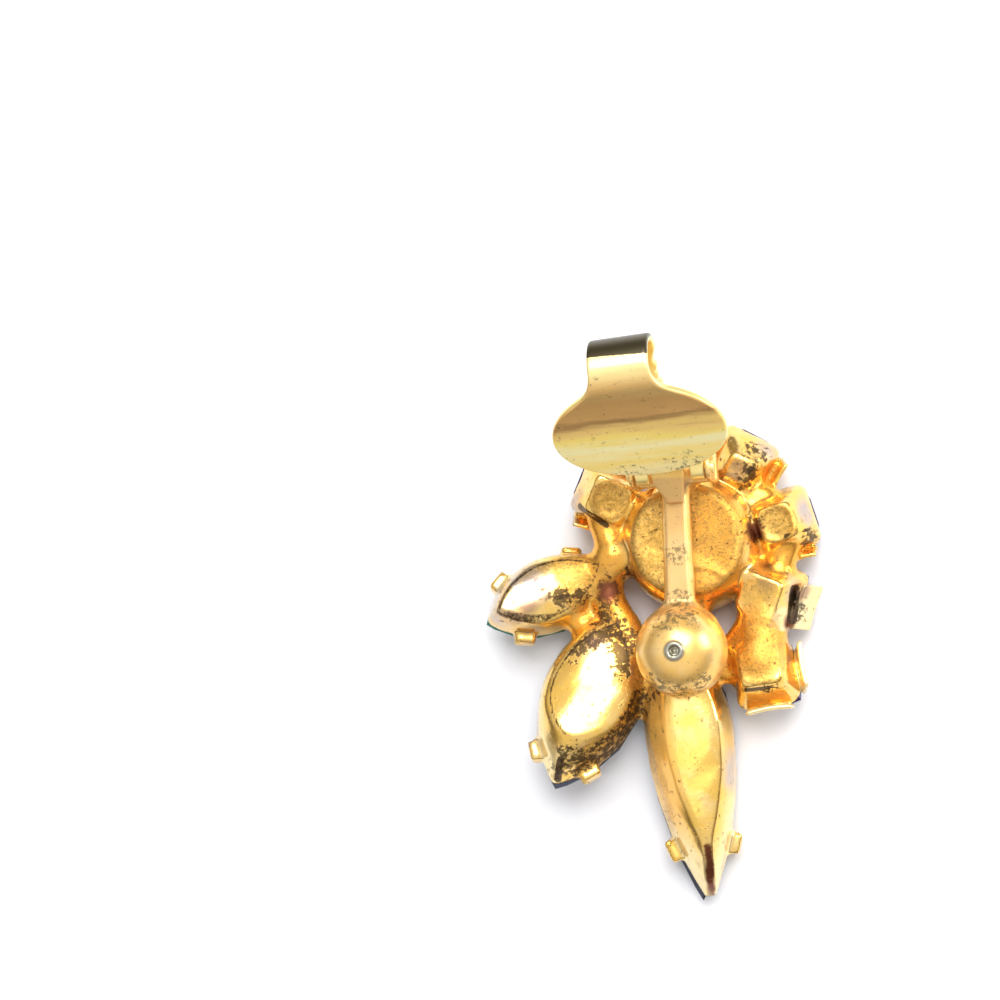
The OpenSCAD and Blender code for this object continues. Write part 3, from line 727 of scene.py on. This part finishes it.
def cut_stone(name, spot, outline, count, depth, shift, spin):
    """A stone with a table, kites, star facets, a girdle and a faceted back."""
    girdle = 0.92
    # Rings of points: share of the outline, height and turn
    rings = ((0.62, 0.02, 0), (0.84, 0.38, 0.5), (1.0, 0.68, 0), (1.0, girdle, 0),
             (0.6, girdle + depth * 0.5, 0.5))
    points, way = [], turn("Z", spin)[:2, :2]
    for scale, height, step in rings:
        for k in range(count):
            flat = way @ outline(2 * math.pi * (k + step) / count) * scale + shift
            points.append((*flat, height))
    points.append((*shift, girdle + depth))
    faces = [tuple(reversed(range(count)))]
    table, kite, low, high, back = (i * count for i in range(5))
    for k in range(count):
        n, p = (k + 1) % count, (k - 1) % count
        faces += [
            (table + k, table + n, kite + k),
            (table + k, kite + k, low + k, kite + p),
            (kite + k, low + n, low + k),
            (low + k, low + n, high + n, high + k),
            (high + k, high + n, back + k),
            (high + k, back + k, len(points) - 1, back + p),
        ]
    return put_mesh(name, spot.out(points), faces)


# Finishes


class Reading:
    """A number that varies over a surface: sums and products of it add Math nodes."""

    def __init__(self, finish, socket):
        self.finish = finish
        self.socket = socket

    def maths(self, operation, first, second):
        return self.finish.node("ShaderNodeMath", {"operation": operation}, {0: first, 1: second})

    def __add__(self, other):
        return self.maths("ADD", self, other)

    __radd__ = __add__

    def __sub__(self, other):
        return self.maths("SUBTRACT", self, other)

    def __rsub__(self, other):
        return self.maths("SUBTRACT", other, self)

    def __mul__(self, other):
        return self.maths("MULTIPLY", self, other)

    __rmul__ = __mul__


class Finish:
    """The nodes of one material or world, with the few kinds that they share."""

    def __init__(self, owner, shader="Principled BSDF"):
        owner.use_nodes = True
        self.owner = owner
        self.tree = owner.node_tree
        self.shader = self.tree.nodes[shader]

    def node(self, kind, settings, sockets, output=0):
        """A node with its settings, such as an operation or a ramp's stops, and its inputs."""
        made = self.tree.nodes.new(kind)
        for key, value in settings.items():
            if key == "stops":
                elements = made.color_ramp.elements
                while len(elements) < len(value):
                    elements.new(0.5)
                for element, (at, colour) in zip(elements, value):
                    element.position = at
                    element.color = (*colour, 1.0)
            else:
                setattr(made, key, value)
        for key, value in sockets.items():
            self.feed(made.inputs[key], value)
        return Reading(self, made.outputs[output])

    def feed(self, socket, value):
        if isinstance(value, Reading):
            self.tree.links.new(value.socket, socket)
        elif socket.type == "RGBA":
            socket.default_value = (*value, 1.0)
        else:
            socket.default_value = value

    def set(self, **values):
        for key, value in values.items():
            self.feed(self.shader.inputs[key.replace("_", " ")], value)

    def vector(self, operation, first, second=(0, 0, 0), output=0):
        settings = {"operation": operation}
        return self.node("ShaderNodeVectorMath", settings, {0: first, 1: second}, output)

    def place(self, stretch=(1, 1, 1)):
        place = self.node("ShaderNodeTexCoord", {}, {}, "Object")
        return self.vector("MULTIPLY", place, stretch)

    def grain(self, size, detail=4.0, rough=0.6, shift=0.0, stretch=(1, 1, 1)):
        """Cloudy noise whose patches are about size millimetres."""
        at = self.vector("ADD", self.place(stretch), (shift, shift * 0.7, shift * 1.3))
        return self.node("ShaderNodeTexNoise", {"noise_dimensions": "3D"},
                         {"Vector": at, "Scale": 1000 / size, "Detail": detail, "Roughness": rough})

    def tones(self, value, *stops):
        """Colours that go by a value: each stop is the value and its colour."""
        return self.node("ShaderNodeValToRGB", {"stops": stops}, {"Fac": value})

    def ramp(self, value, *stops):
        return self.tones(value, *[(at, (v, v, v)) for at, v in stops])

    def mix(self, share, first, second):
        return self.node("ShaderNodeMix", {"data_type": "RGBA"}, {0: share, 6: first, 7: second}, 2)

    def layers(self, base, *coats):
        """Colours laid over a first one: each coat is its share and its colour."""
        for share, colour in coats:
            base = self.mix(share, base, colour)
        return base

    def kept(self, name):
        return self.node("ShaderNodeAttribute", {"attribute_name": name}, {}, "Fac")

    def bump(self, height, strength, depth):
        return self.node("ShaderNodeBump", {},
                         {"Strength": strength, "Distance": depth * MM, "Height": height})


# Colours of the plating, then of what has happened to it and of painted light and shade on it
GOLD = (0.96, 0.59, 0.13)
SHEET_GOLD = (1.0, 0.80, 0.30)
DOME_GOLD = (0.93, 0.57, 0.16)
WARM_GOLD = (1.0, 0.55, 0.12)
ORANGE_GOLD = (0.92, 0.42, 0.05)
PALE_GOLD = (0.97, 0.80, 0.46)
# Painted highlight on the lower walls
HIGHLIGHT_CREAM = (0.98, 0.84, 0.47)
TONGUE_GOLD = ((0.96, 0.60, 0.14), (1.0, 0.72, 0.24))
STEM_GOLD = ((0.82, 0.49, 0.18), (0.66, 0.43, 0.2))
SANDY_GOLD = (0.86, 0.49, 0.11)
SANDY_ORANGE = (0.72, 0.34, 0.05)
DULL_SAND = (0.42, 0.23, 0.05)
MAUVE_GREY = (0.52, 0.44, 0.40)
SAND = (0.60, 0.32, 0.06)
OLIVE = (0.16, 0.12, 0.04)
# Soot of the tarnish, and also the colour of the painted dark reflections
SOOT_AND_DARK_REFLECTION = (0.06, 0.035, 0.018)
RUST = (0.42, 0.17, 0.05)
BROWN = (0.17, 0.05, 0.02)
# Painted shade on faces turned from the light
SHADE_TAN = (0.42, 0.25, 0.15)
PIT_GREY = (0.36, 0.34, 0.27)
CLIP_SOOT = (0.13, 0.11, 0.05)
# Painted dark reflection along the crest of the lever's fold
CREST_SHADE = (0.075, 0.06, 0.03)

# How much of a stone's shine is its foil's
FOIL = 0.25

# Painted reflections: light and dark streaks across the paddle, from its lower rim up to its neck
PADDLE_REFLECTIONS = (
    (0.06, (0.56, 0.50, 0.32)), (0.15, (1.0, 0.82, 0.34)), (0.25, (1.0, 0.74, 0.16)),
    (0.35, (1.0, 0.90, 0.46)), (0.43, (1.0, 0.76, 0.18)), (0.50, (1.0, 0.68, 0.22)),
    (0.545, (0.66, 0.38, 0.14)), (0.59, (1.0, 0.60, 0.21)), (0.78, (0.90, 0.52, 0.18)),
    (0.95, (1.0, 0.80, 0.34)),
)


def sandy_back(finish, solder, fine):
    """Colour of the matt backs: speckled, more orange near solder and duller in patches."""
    specks = finish.grain(0.17, 3.0, 0.6, 0.031)
    patches = finish.grain(0.9, 6.0, 0.8, 0.043)
    return finish.layers(
        SANDY_GOLD,
        (solder, SANDY_ORANGE),
        (finish.ramp(fine, (0.45, 0.0), (0.55, 1.0)), SAND),
        (finish.ramp(specks, (0.55, 0.0), (0.61, 0.75)), OLIVE),
        (finish.ramp(patches, (0.48, 0.0), (0.60, 0.75)), DULL_SAND),
    )


def plated_gold(name):
    """Old plating: warm in the solder, sandy on matt backs and tarnished in places, with painted
    light and shade on some walls and bands.
    """
    finish = Finish(bpy.data.materials.new(name))
    solder, pale, warm, brown = (finish.kept(n) for n in ("solder", "pale", "warm", "brown"))
    cloud = finish.grain(2.0, 4.0)
    fine = finish.grain(0.3, 5.0, 0.7, 0.013)
    worn = finish.kept("worn") * finish.ramp(cloud, (0.35, 0.5), (0.6, 1.0))
    # browner patches of painted shade
    tan_shade = finish.kept("tan") * finish.ramp(cloud, (0.38, 0.35), (0.56, 1.0))
    matt = finish.ramp(finish.kept("sand") + (cloud - 0.5) * 0.7, (0.2, 0.0), (0.5, 1.0))
    flecks = finish.grain(0.35, 5.0, 0.75, 0.05) + solder * 0.05
    flecks = finish.ramp(flecks, (0.63, 0.0), (0.68, 0.7))
    soot = finish.kept("dark") * 0.15 + finish.grain(0.4, 6.0, 0.75, 0.07)
    soot = finish.ramp(soot, (0.60, 0.0), (0.65, 1.0))
    # Near-black bands and outlines: painted dark reflections
    black = finish.ramp(finish.kept("black") + (fine - 0.5) * 0.9, (0.35, 0.0), (0.55, 1.0))
    base = finish.layers(
        GOLD,
        (finish.ramp(cloud, (0.42, 0.0), (0.66, 0.4)), PALE_GOLD),
        # the cream coat is a painted highlight on the lower walls, and the brown patches are
        # painted shade
        (solder * 0.9, ORANGE_GOLD), (pale * 0.7, HIGHLIGHT_CREAM), (worn, MAUVE_GREY), (tan_shade, SHADE_TAN),
        # orange painted reflection on the long cup's side
        (warm * 0.9, WARM_GOLD), (matt * 0.85, sandy_back(finish, solder, fine)),
        (flecks, RUST), (soot * 0.9, SOOT_AND_DARK_REFLECTION), (brown, BROWN), (black * 0.92, SOOT_AND_DARK_REFLECTION),
    )
    rough = 0.2 + brown * 0.02 + matt * 0.2 + solder * 0.05 + soot * 0.2 + flecks * 0.1
    height = fine * (matt * 0.8 + solder * 0.25 + soot * 0.4 + 0.06) + cloud * 1.2
    finish.set(Base_Color=base, Metallic=0.9 - solder * 0.1 - pale * 0.3 - warm * 0.45,
               Roughness=rough, Normal=finish.bump(height, 0.6, 0.06))
    return finish.owner


def satin_gold(name, tone):
    """Satin sheet with cloudy wear and tarnish, with painted reflections: streaks across the paddle
    and a dark band along the crest.
    """
    finish = Finish(bpy.data.materials.new(name))
    warm = finish.kept("warm")
    cloud = finish.grain(1.6, 4.0)
    fine = finish.grain(0.22, 4.0, 0.7, 0.02)
    streak = finish.grain(0.8, 3.0, 0.55, 0.03, (0.12, 1, 1))
    fall = finish.kept("fall") + (streak - 0.5) * 0.22
    blotch = finish.grain(0.35, 6.0, 0.75, 0.07)
    soot = finish.ramp(finish.kept("dark") * 0.13 + blotch, (0.61, 0.0), (0.66, 1.0))
    # painted dark reflection along the top of the lever's fold
    crest = finish.ramp(finish.kept("brown") + (blotch - 0.5) * 1.2, (0.35, 0.0), (0.55, 1.0))
    base = finish.layers(
        tone,
        (finish.ramp(cloud, (0.45, 0.0), (0.65, 0.3)), PALE_GOLD),
        # the tongue is lighter and less metallic: painted light where the paddle shades it
        (warm, finish.mix(cloud, *TONGUE_GOLD)),
        (finish.kept("worn"), finish.mix(cloud, *STEM_GOLD)),
        # painted reflections: streaks across the paddle's front
        (finish.kept("front"), finish.tones(fall, *PADDLE_REFLECTIONS)),
        (finish.kept("grey"), PIT_GREY), (soot * 0.8, CLIP_SOOT), (crest, CREST_SHADE),
    )
    rough = 0.24 + cloud * 0.1 + soot * 0.2 + warm * 0.1
    # the paddle is less metallic low down, so that it reads brighter there, as part of the painted
    # reflection
    metallic = finish.ramp(fall, (0.45, 0.1), (0.53, 0.68)) - warm * 0.6
    finish.set(Base_Color=base, Metallic=metallic, Roughness=rough,
               Normal=finish.bump(fine * 0.3 + cloud, 0.4, 0.03))
    return finish.owner


def glass(name, colour):
    """Cut glass with foil behind it, a little cloudy."""
    finish = Finish(bpy.data.materials.new(name))
    cloud = finish.grain(1.2, 2.0)
    base = finish.mix(cloud, colour, tuple(c * 0.6 for c in colour))
    finish.set(Base_Color=base, Roughness=0.05 + cloud * 0.04, IOR=1.58, Coat_Weight=1.0,
               Coat_Roughness=0.03, Metallic=FOIL)
    return finish.owner


def paint(piece, material):
    piece.data.materials.clear()
    piece.data.materials.append(material)


def near_spots(points, spots):
    """How close each point is to the nearest of some marked places, from 0 to 1."""
    found = np.zeros(len(points))
    for *at, reach in spots:
        gap = np.linalg.norm(points - at, axis=1)
        found = np.maximum(found, rise(-gap, -reach, -reach * 0.35))
    return found


# Marked places on the metal: x, y, z and reach. First tarnish, then greyish mauve metal,
# then painted shade: browner patches where faces turn from the light
TARNISH = [
    (7.4, 10.7, 4.4, 1.5), (6.9, 10.2, 4.3, 1.3), (7.2, 7.1, 4.0, 1.4), (-2.8, 1.2, 4.2, 1.8),
    (-1.5, -0.1, 4.4, 1.6), (-3.5, 1.9, 4.1, 1.5), (-6.1, 3.0, 4.6, 1.2), (-4.8, 3.0, 4.3, 1.3),
    (-2.9, 3.3, 3.8, 1.4), (8.0, -3.6, 4.6, 1.0), (11.1, 6.3, 3.0, 1.3), (10.0, 1.4, 2.9, 1.2),
    (7.9, 12.4, 4.0, 1.7), (-5.6, -6.6, 5.0, 1.3), (-5.9, -7.6, 5.4, 1.4), (-6.6, -8.6, 4.5, 1.1),
    (-0.7, -4.2, 3.0, 1.6), (0.6, -3.6, 4.0, 1.4), (-1.0, 4.6, 3.4, 1.5), (6.1, -0.8, 3.6, 1.3),
    (3.4, 3.8, 2.6, 1.4),
]
MAUVE_GREY_SPOTS = [
    (5.2, -9.0, 3.2, 2.2), (-8.6, -5.5, 3.0, 2.4), (-10.2, 2.6, 4.5, 2.2), (-8.4, 4.0, 4.6, 2.2),
    (11.0, 8.2, 3.2, 1.6), (8.9, 13.0, 3.0, 1.8), (-5.6, 9.2, 3.0, 1.6), (9.2, 3.0, 3.4, 1.3),
    (8.6, -2.0, 3.2, 1.2),
]
PAINTED_SHADE_SPOTS = [
    (6.3, 11.1, 4.5, 1.1), (5.3, 10.7, 4.4, 1.0), (-5.1, 9.6, 3.3, 1.5), (-8.5, 2.8, 5.1, 1.3),
    (-8.4, 0.9, 3.6, 1.6), (-6.6, 0.4, 4.2, 1.2), (-3.8, 0.3, 4.5, 1.4), (10.3, 2.8, 3.5, 1.1),
    (8.0, 3.2, 4.6, 0.9), (3.4, -2.6, 4.4, 1.2), (-9.2, 2.2, 4.9, 1.3), (-7.4, 3.6, 5.1, 1.1),
]
# Red-brown solder, the orange side of the round back, and sandy solder between two squares
RUSTY = [
    (7.3, 6.9, 4.0, 1.1), (-2.9, 3.3, 3.9, 1.25), (8.1, 4.3, 3.2, 1.0), (9.3, 0.7, 3.4, 0.8),
]
FLUSHED = [(5.0, 7.6, 5.2, 3.2), (4.6, 4.4, 5.2, 3.0)]
SANDY = [(7.6, -0.2, 5.0, 1.9), (7.3, -2.0, 5.0, 1.6)]
# Tarnish on the clip: at both ends of the stem, on the dome and at the paddle's lower rim
CLIP_TARNISH = [
    (2.4, 2.3, 6.7, 1.5), (1.9, 0.9, 8.4, 1.7), (3.2, 1.3, 8.2, 1.4), (2.4, -3.4, 7.6, 1.9),
    (1.2, -2.8, 7.9, 1.5), (3.6, -2.8, 7.9, 1.5), (2.4, -0.96, 9.5, 0.6), (2.4, 5.5, 6.7, 1.2),
]
PADDLE_TARNISH = [(4.8, 10.2, 16.9, 1.8), (1.2, 9.9, 16.4, 1.6)]

# Painted dark reflections: black bands on the metal in place of reflected shade, each from, to and
# half width
DARK_REFLECTION_LINES = [
    ((-4.7, 9.3, 4.1), (-2.8, 7.86, 4.26), 0.18), ((9.8, 2.9, 3.45), (9.5, 0.9, 3.3), 0.3),
    ((-6.4, 3.0, 4.7), (-5.6, 3.16, 4.46), 0.12), ((7.33, 11.1, 4.4), (7.42, 10.3, 4.3), 0.2),
    ((9.4, 6.5, 4.4), (10.9, 6.9, 3.4), 0.08), ((6.4, -3.7, 4.8), (7.9, -3.6, 4.8), 0.1),
    ((-6.3, -8.0, 5.6), (-6.8, -9.4, 4.4), 0.2), ((7.9, 13.4, 3.6), (9.9, 11.6, 3.2), 0.1),
    ((-6.2, 11.3, 3.6), (-5.4, 8.9, 3.2), 0.12),
]


def bands(points, lines):
    """How close each point is to some lines of painted dark reflection on the metal, seen from
    above.
    """
    flat = np.array((1, 1, 0.35))
    found = np.zeros(len(points))
    for start, end, reach in lines:
        gap = bar(np.array(start) * flat, np.array(end) * flat, 0)(*(points * flat).T)
        found = np.maximum(found, rise(-gap, -reach - 0.12, -reach + 0.05))
    return found


def leaf_marks(points):
    """Mottling inside the medium cup's upper end, and dark lines of painted reflection round two of
    the backs.
    """
    lines, mottled = np.zeros(len(points)), np.zeros(len(points))
    for name, start in (("medium", 0.3), ("small", 0.6)):
        cup = OVALS[name]
        x, y, z = cup["spot"].local(points.T)
        back, width, tip, head = cup["rings"][-1]
        gap = leaf_gap(x, y, width, tip, head)
        high = rise(z, back - 0.9, back - 0.5)
        side = np.maximum(rise(-x, -start, 0.2), rise(y, 2.2, 3.0) if name == "medium" else 0.8)
        wide = 0.14 + (0.22 * rise(-y, -0.5, 1.5) * rise(x, 0, 0.3) if name == "small" else 0)
        lines = np.maximum(lines, high * side * rise(-np.abs(gap), -wide, -wide + 0.1))
        if name == "medium":
            end = rise(y, 0.6, 2.4) * np.maximum(rise(gap, -1.5, -0.5), rise(y, 2.6, 3.8))
            low = rise(x, 0.4, 1.2) * rise(-z, -4.0, -3.6) * rise(-y, -2.4, -0.5)
            mottled = high * end * rise(-gap, -0.3, -0.05)
            mottled = np.maximum(mottled, 0.85 * low * rise(-oval_cup(cup)(x, y, z), -0.3, -0.1))
    return lines, mottled


def painted_bright_walls(points):
    """Painted highlights: the bright lower walls of the pointed cups, and the tabs of the two lower
    squares, where they reflect the lit table.
    """
    found = np.zeros(len(points))
    for name, start, side in (("long", -3.5, 0), ("medium", 1.0, -1), ("small", 2.0, -1)):
        cup = OVALS[name]
        x, y, z = cup["spot"].local(points.T)
        on = rise(-oval_cup(cup)(x, y, z), -0.2, -0.06) * rise(-z, -cup["rings"][-1][0] + 0.3, -3.0)
        where = rise(-y, -start, 2.5 - start)
        if side < 0:
            where = where * rise(-x, -0.4, 0.4)
        found = np.maximum(found, on * where)
    for name, (way, tilt) in (("d", (0, -20)), ("e", (0, 12)), ("e", (270, 12))):
        x, y, z = tab_spot(SQUARES[name], way, tilt)[1].local(points.T)
        on = rise(x, -0.1, 0.0) * rise(-x, -0.6, -0.5) * rise(-np.abs(y), -1.8, -1.7)
        found = np.maximum(found, on)
    return found


def warm_wall(points):
    """The orange side of the long cup: a painted reflection, lighter and less metallic than the
    metal round it.
    """
    x, y, z = OVALS["long"]["spot"].local(points.T)
    on = rise(-oval_cup(OVALS["long"])(x, y, z), -0.2, -0.06)
    return on * rise(-x, 0.9, 1.7) * rise(z, 2.0, 3.0) * rise(y, -8.0, -5.0)


def tip_strip(points):
    """The narrow flat strip down the long cup's tip."""
    x, y, z = OVALS["long"]["spot"].local(points.T)
    tip = ring_sizes(OVALS["long"], y, z)[1]
    return rise(-y - tip, -0.67, -0.62) * rise(z, 1.1, 1.4) * rise(-np.abs(x), -0.7, -0.45)


def matt_backs(points):
    """How much of each point lies on a matt back, by the cups' own frames."""
    x, y, z = ROUND_SPOT.local(points.T)
    sand = rise(-np.hypot(x, y), -4.2, -3.5) * rise(z, 4.7, 5.0)
    for name, cup in OVALS.items():
        x, y, z = cup["spot"].local(points.T)
        on = rise(-oval_cup(cup)(x, y, z), -0.4, -0.1)
        if name == "medium":
            found = 0.8 * rise(y, 3.0, 4.4) * rise(z, 3.4, 4.0)
            found = np.maximum(found, 0.8 * rise(x, 0.6, 1.8) * rise(-z, -4.2, -3.6))
        elif name == "small":
            found = 0.8 * rise(y, 0.0, 1.6) * rise(z, 3.0, 3.6)
        else:
            found = 0.35 * rise(-x, 1.4, 2.2) * rise(-z, -4.4, -3.6)
        sand = np.maximum(sand, found * on)
    for name, cup in SQUARES.items():
        x, y, z = cup["spot"].local(points.T)
        share = {"b": 0.3, "d": 0.4}.get(name, 1.0)
        on = rise(-square_cup(cup)(x, y, z), -0.4, -0.1)
        sand = np.maximum(sand, on * share * rise(-np.hypot(x, y), -1.6, -1.1) * rise(z, 3.8, 4.1))
    return np.maximum(sand, near_spots(points, SANDY))


def solder_marks(points):
    """How close each point is to a bar of solder."""
    x, y, z = CLUSTER.local(points.T)
    gap = np.full(len(points), FAR)
    for start, end, radius, end_radius in SOLDER:
        gap = np.minimum(gap, bar(start, end, radius, end_radius)(x, y, z))
    return rise(-gap, -0.7, 0.0)


def adopt(piece, node, body, slot, material):
    """Puts a piece in place of one of the frame's nodes."""
    paint(piece, material)
    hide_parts(node)
    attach(piece, body)


def make_cluster():
    cluster = cast_cluster()
    points = vertices(cluster)
    lines, mottled = leaf_marks(points)
    mark(cluster, {
        "sand": matt_backs(points),
        "solder": np.maximum(solder_marks(points), near_spots(points, FLUSHED)),
        "dark": np.maximum(near_spots(points, TARNISH), 1.25 * mottled),
        "brown": tip_strip(points) + near_spots(points, RUSTY),
        # painted dark reflections: bands and outlines round the backs
        "black": np.maximum(bands(points, DARK_REFLECTION_LINES), 0.6 * lines),
        # painted highlights on the lower walls
        "pale": painted_bright_walls(points),
        "warm": warm_wall(points),
        "worn": near_spots(points, MAUVE_GREY_SPOTS),
        # patches of painted shade
        "tan": near_spots(points, PAINTED_SHADE_SPOTS),
    })
    adopt(cluster, "setting", "cluster", "gold_setting", plated_gold("cluster_gold"))


def make_clip_frame():
    clip = cast_clip_frame()
    points = vertices(clip)
    x, y, z = CLIP.local(points.T)
    on_stem = rise(-np.abs(x), -1.3, -1.1) * rise(-y, 0.3, 0.6) * rise(y, -9.8, -9.2)
    on_tongue = rise(-np.abs(x), -1.3, -1.2) * rise(y, -2.0, -1.9) * rise(-y, -0.6, 0.6)
    from_pit = np.hypot(x, y - DOME_AT[1])
    mark(clip, {
        "dark": near_spots(points, CLIP_TARNISH),
        "worn": 0.8 * on_stem * rise(z, STEM_TOP - 0.1, STEM_TOP - 0.03),
        "grey": rise(-from_pit, -0.75, -0.6) * rise(z, 1.3, 1.5),
        # painted light on the spring's tongue
        "warm": on_tongue * rise(z, -1.3, -1.2),
        "brown": 0, "front": 0, "fall": 1,
    })
    adopt(clip, "setting", "cluster", "gold_setting", satin_gold("clip_gold", DOME_GOLD))


def make_lever():
    lever = cast_lever()
    points = vertices(lever)
    across, height = points[:, 0], points[:, 1]
    along, off, _ = unroll(*LEVER_SPOT.local(points.T)[1:])
    front = rise(along, LEG + 0.5, LEG + 1.5) * rise(-off, -0.1, 0.1)
    level = (height - 0.05 * (across - 2.0) - PADDLE_RIM_Y) / (PADDLE_NECK_Y - PADDLE_RIM_Y)
    crest = height.max()
    mark(lever, {
        # the top of the fold's front gets a painted dark reflection
        "brown": front * rise(height, crest - 1.65, crest - 1.45),
        "dark": 0.7 * near_spots(points, PADDLE_TARNISH),
        "front": front,
        "fall": np.where(front > 0, level, 1.0),
        "warm": 0, "worn": 0, "grey": 0,
    })
    adopt(lever, "clip_lever", "lever", "gold_lever", satin_gold("lever_gold", SHEET_GOLD))


STONE_COLOURS = {
    "round": (0.02, 0.03, 0.2),
    "long": (0.03, 0.04, 0.075),
    "medium": (0.035, 0.045, 0.09),
    "small": (0.0, 0.17, 0.13),
    "square": (0.035, 0.02, 0.11),
}
FACETS = 16


def set_stone(kind, name, node, spot, outline, depth, shift=(0, 0), spin=0):
    """A stone in its cup, which replaces the frame's plainer one."""
    stone = cut_stone(name, spot, outline, FACETS, depth, shift, spin)
    adopt(stone, node, "cluster", "glass_" + kind, glass(name, STONE_COLOURS[kind]))


def make_stones():
    outline = squarish(ROUND_RADIUS - 0.05, 2)
    set_stone("round", "round_glass", "round_stone", ROUND_SPOT, outline, 3.0)
    for kind, cup in OVALS.items():
        width, tip, head, *shift, spin = cup["stone"]
        outline, depth = pointed(width, tip, head), cup["rings"][-1][0] - 2.1
        set_stone(kind, kind + "_glass", kind + "_stone", cup["spot"], outline, depth, shift, spin)
    for letter, cup in SQUARES.items():
        outline = squarish(SQUARE_HALF + 0.02, 6)
        name, node = "square_glass_" + letter, "square_stone_" + letter
        set_stone("square", name, node, cup["spot"], outline, 2.2, cup["shift"])


# Table, light and camera

TABLE_HALF = 1200
ROOM_SHADES = [
    (0.0, (0.05, 0.04, 0.03)), (0.25, (0.13, 0.10, 0.08)), (0.45, (0.62, 0.60, 0.58)),
    (0.65, (0.82, 0.82, 0.82)), (1.0, (0.8, 0.81, 0.83)),
]

# The camera as it stood for the photo: its place in millimetres and its three axes
CAMERA_AT = (22.33, -2.12, 134.17)
CAMERA_AXES = (
    (0.96868, -0.03383, -0.24598),
    (0.05484, 0.99536, 0.07909),
    (0.24217, -0.09010, 0.96604),
)


def table_top():
    """A table that is pale around the earring and darker further away: a painted pool of light."""
    corners = TABLE_HALF * np.array([(-1, -1, 0), (1, -1, 0), (1, 1, 0), (-1, 1, 0)])
    floor = put_mesh("table_top", corners, [(0, 1, 2, 3)])
    finish = Finish(bpy.data.materials.new("pale_table"))
    cloud = finish.grain(40, 2.0)
    # painted fall-off of light: the table turns dark brown from about 75 to 106 mm out
    spread = finish.vector("ADD", finish.place((8, 8, 8)), (0.09, -0.083, 0))
    far = finish.vector("LENGTH", spread, output=1)
    shade = finish.ramp(far, (0.6, 0.0), (0.85, 1.0))
    pale = finish.mix(cloud, (0.78, 0.78, 0.81), (0.80, 0.80, 0.82))
    finish.set(Base_Color=finish.mix(shade, pale, (0.2, 0.16, 0.13)), Roughness=0.6 + cloud * 0.05)
    paint(floor, finish.owner)


def soft_light(name, at, size, power):
    """A wide lamp that faces the earring."""
    light = bpy.data.lights.new(name, "AREA")
    light.shape = "RECTANGLE"
    light.size, light.size_y = size
    light.energy = power
    lamp = put(name, light)
    lamp.location = Vector(at)
    lamp.rotation_mode = "QUATERNION"
    lamp.rotation_quaternion = (-Vector(at)).to_track_quat("-Z", "Y")


def surroundings():
    """A room that is pale above and brown towards the horizon."""
    world = bpy.data.worlds.new("room")
    bpy.context.scene.world = world
    finish = Finish(world, "Background")
    way = finish.node("ShaderNodeTexCoord", {}, {}, "Generated")
    height = finish.node("ShaderNodeSeparateXYZ", {}, {0: way}, "Z")
    finish.set(Color=finish.tones(height, *ROOM_SHADES), Strength=1.0)


def photo_camera():
    """A camera at the photo's own place and angle."""
    lens = bpy.data.cameras.new("camera")
    lens.lens = 69.42
    lens.sensor_width = 36.0
    lens.clip_start = 0.01
    camera = put("camera", lens)
    place = Matrix.Translation(Vector(CAMERA_AT) * MM)
    camera.matrix_world = place @ Matrix(CAMERA_AXES).transposed().to_4x4()
    bpy.context.scene.camera = camera


make_cluster()
make_clip_frame()
make_lever()
make_stones()
table_top()
surroundings()
soft_light("high_window", (0.045, 0.15, 0.255), (0.24, 0.2), 1.0)
soft_light("top_panel", (0.075, 0.03, 0.34), (0.2, 0.2), 0.1)
soft_light("right_window", (0.27, 0.10, 0.085), (0.14, 0.12), 0.45)
photo_camera()
bpy.context.scene.view_settings.view_transform = "Standard"
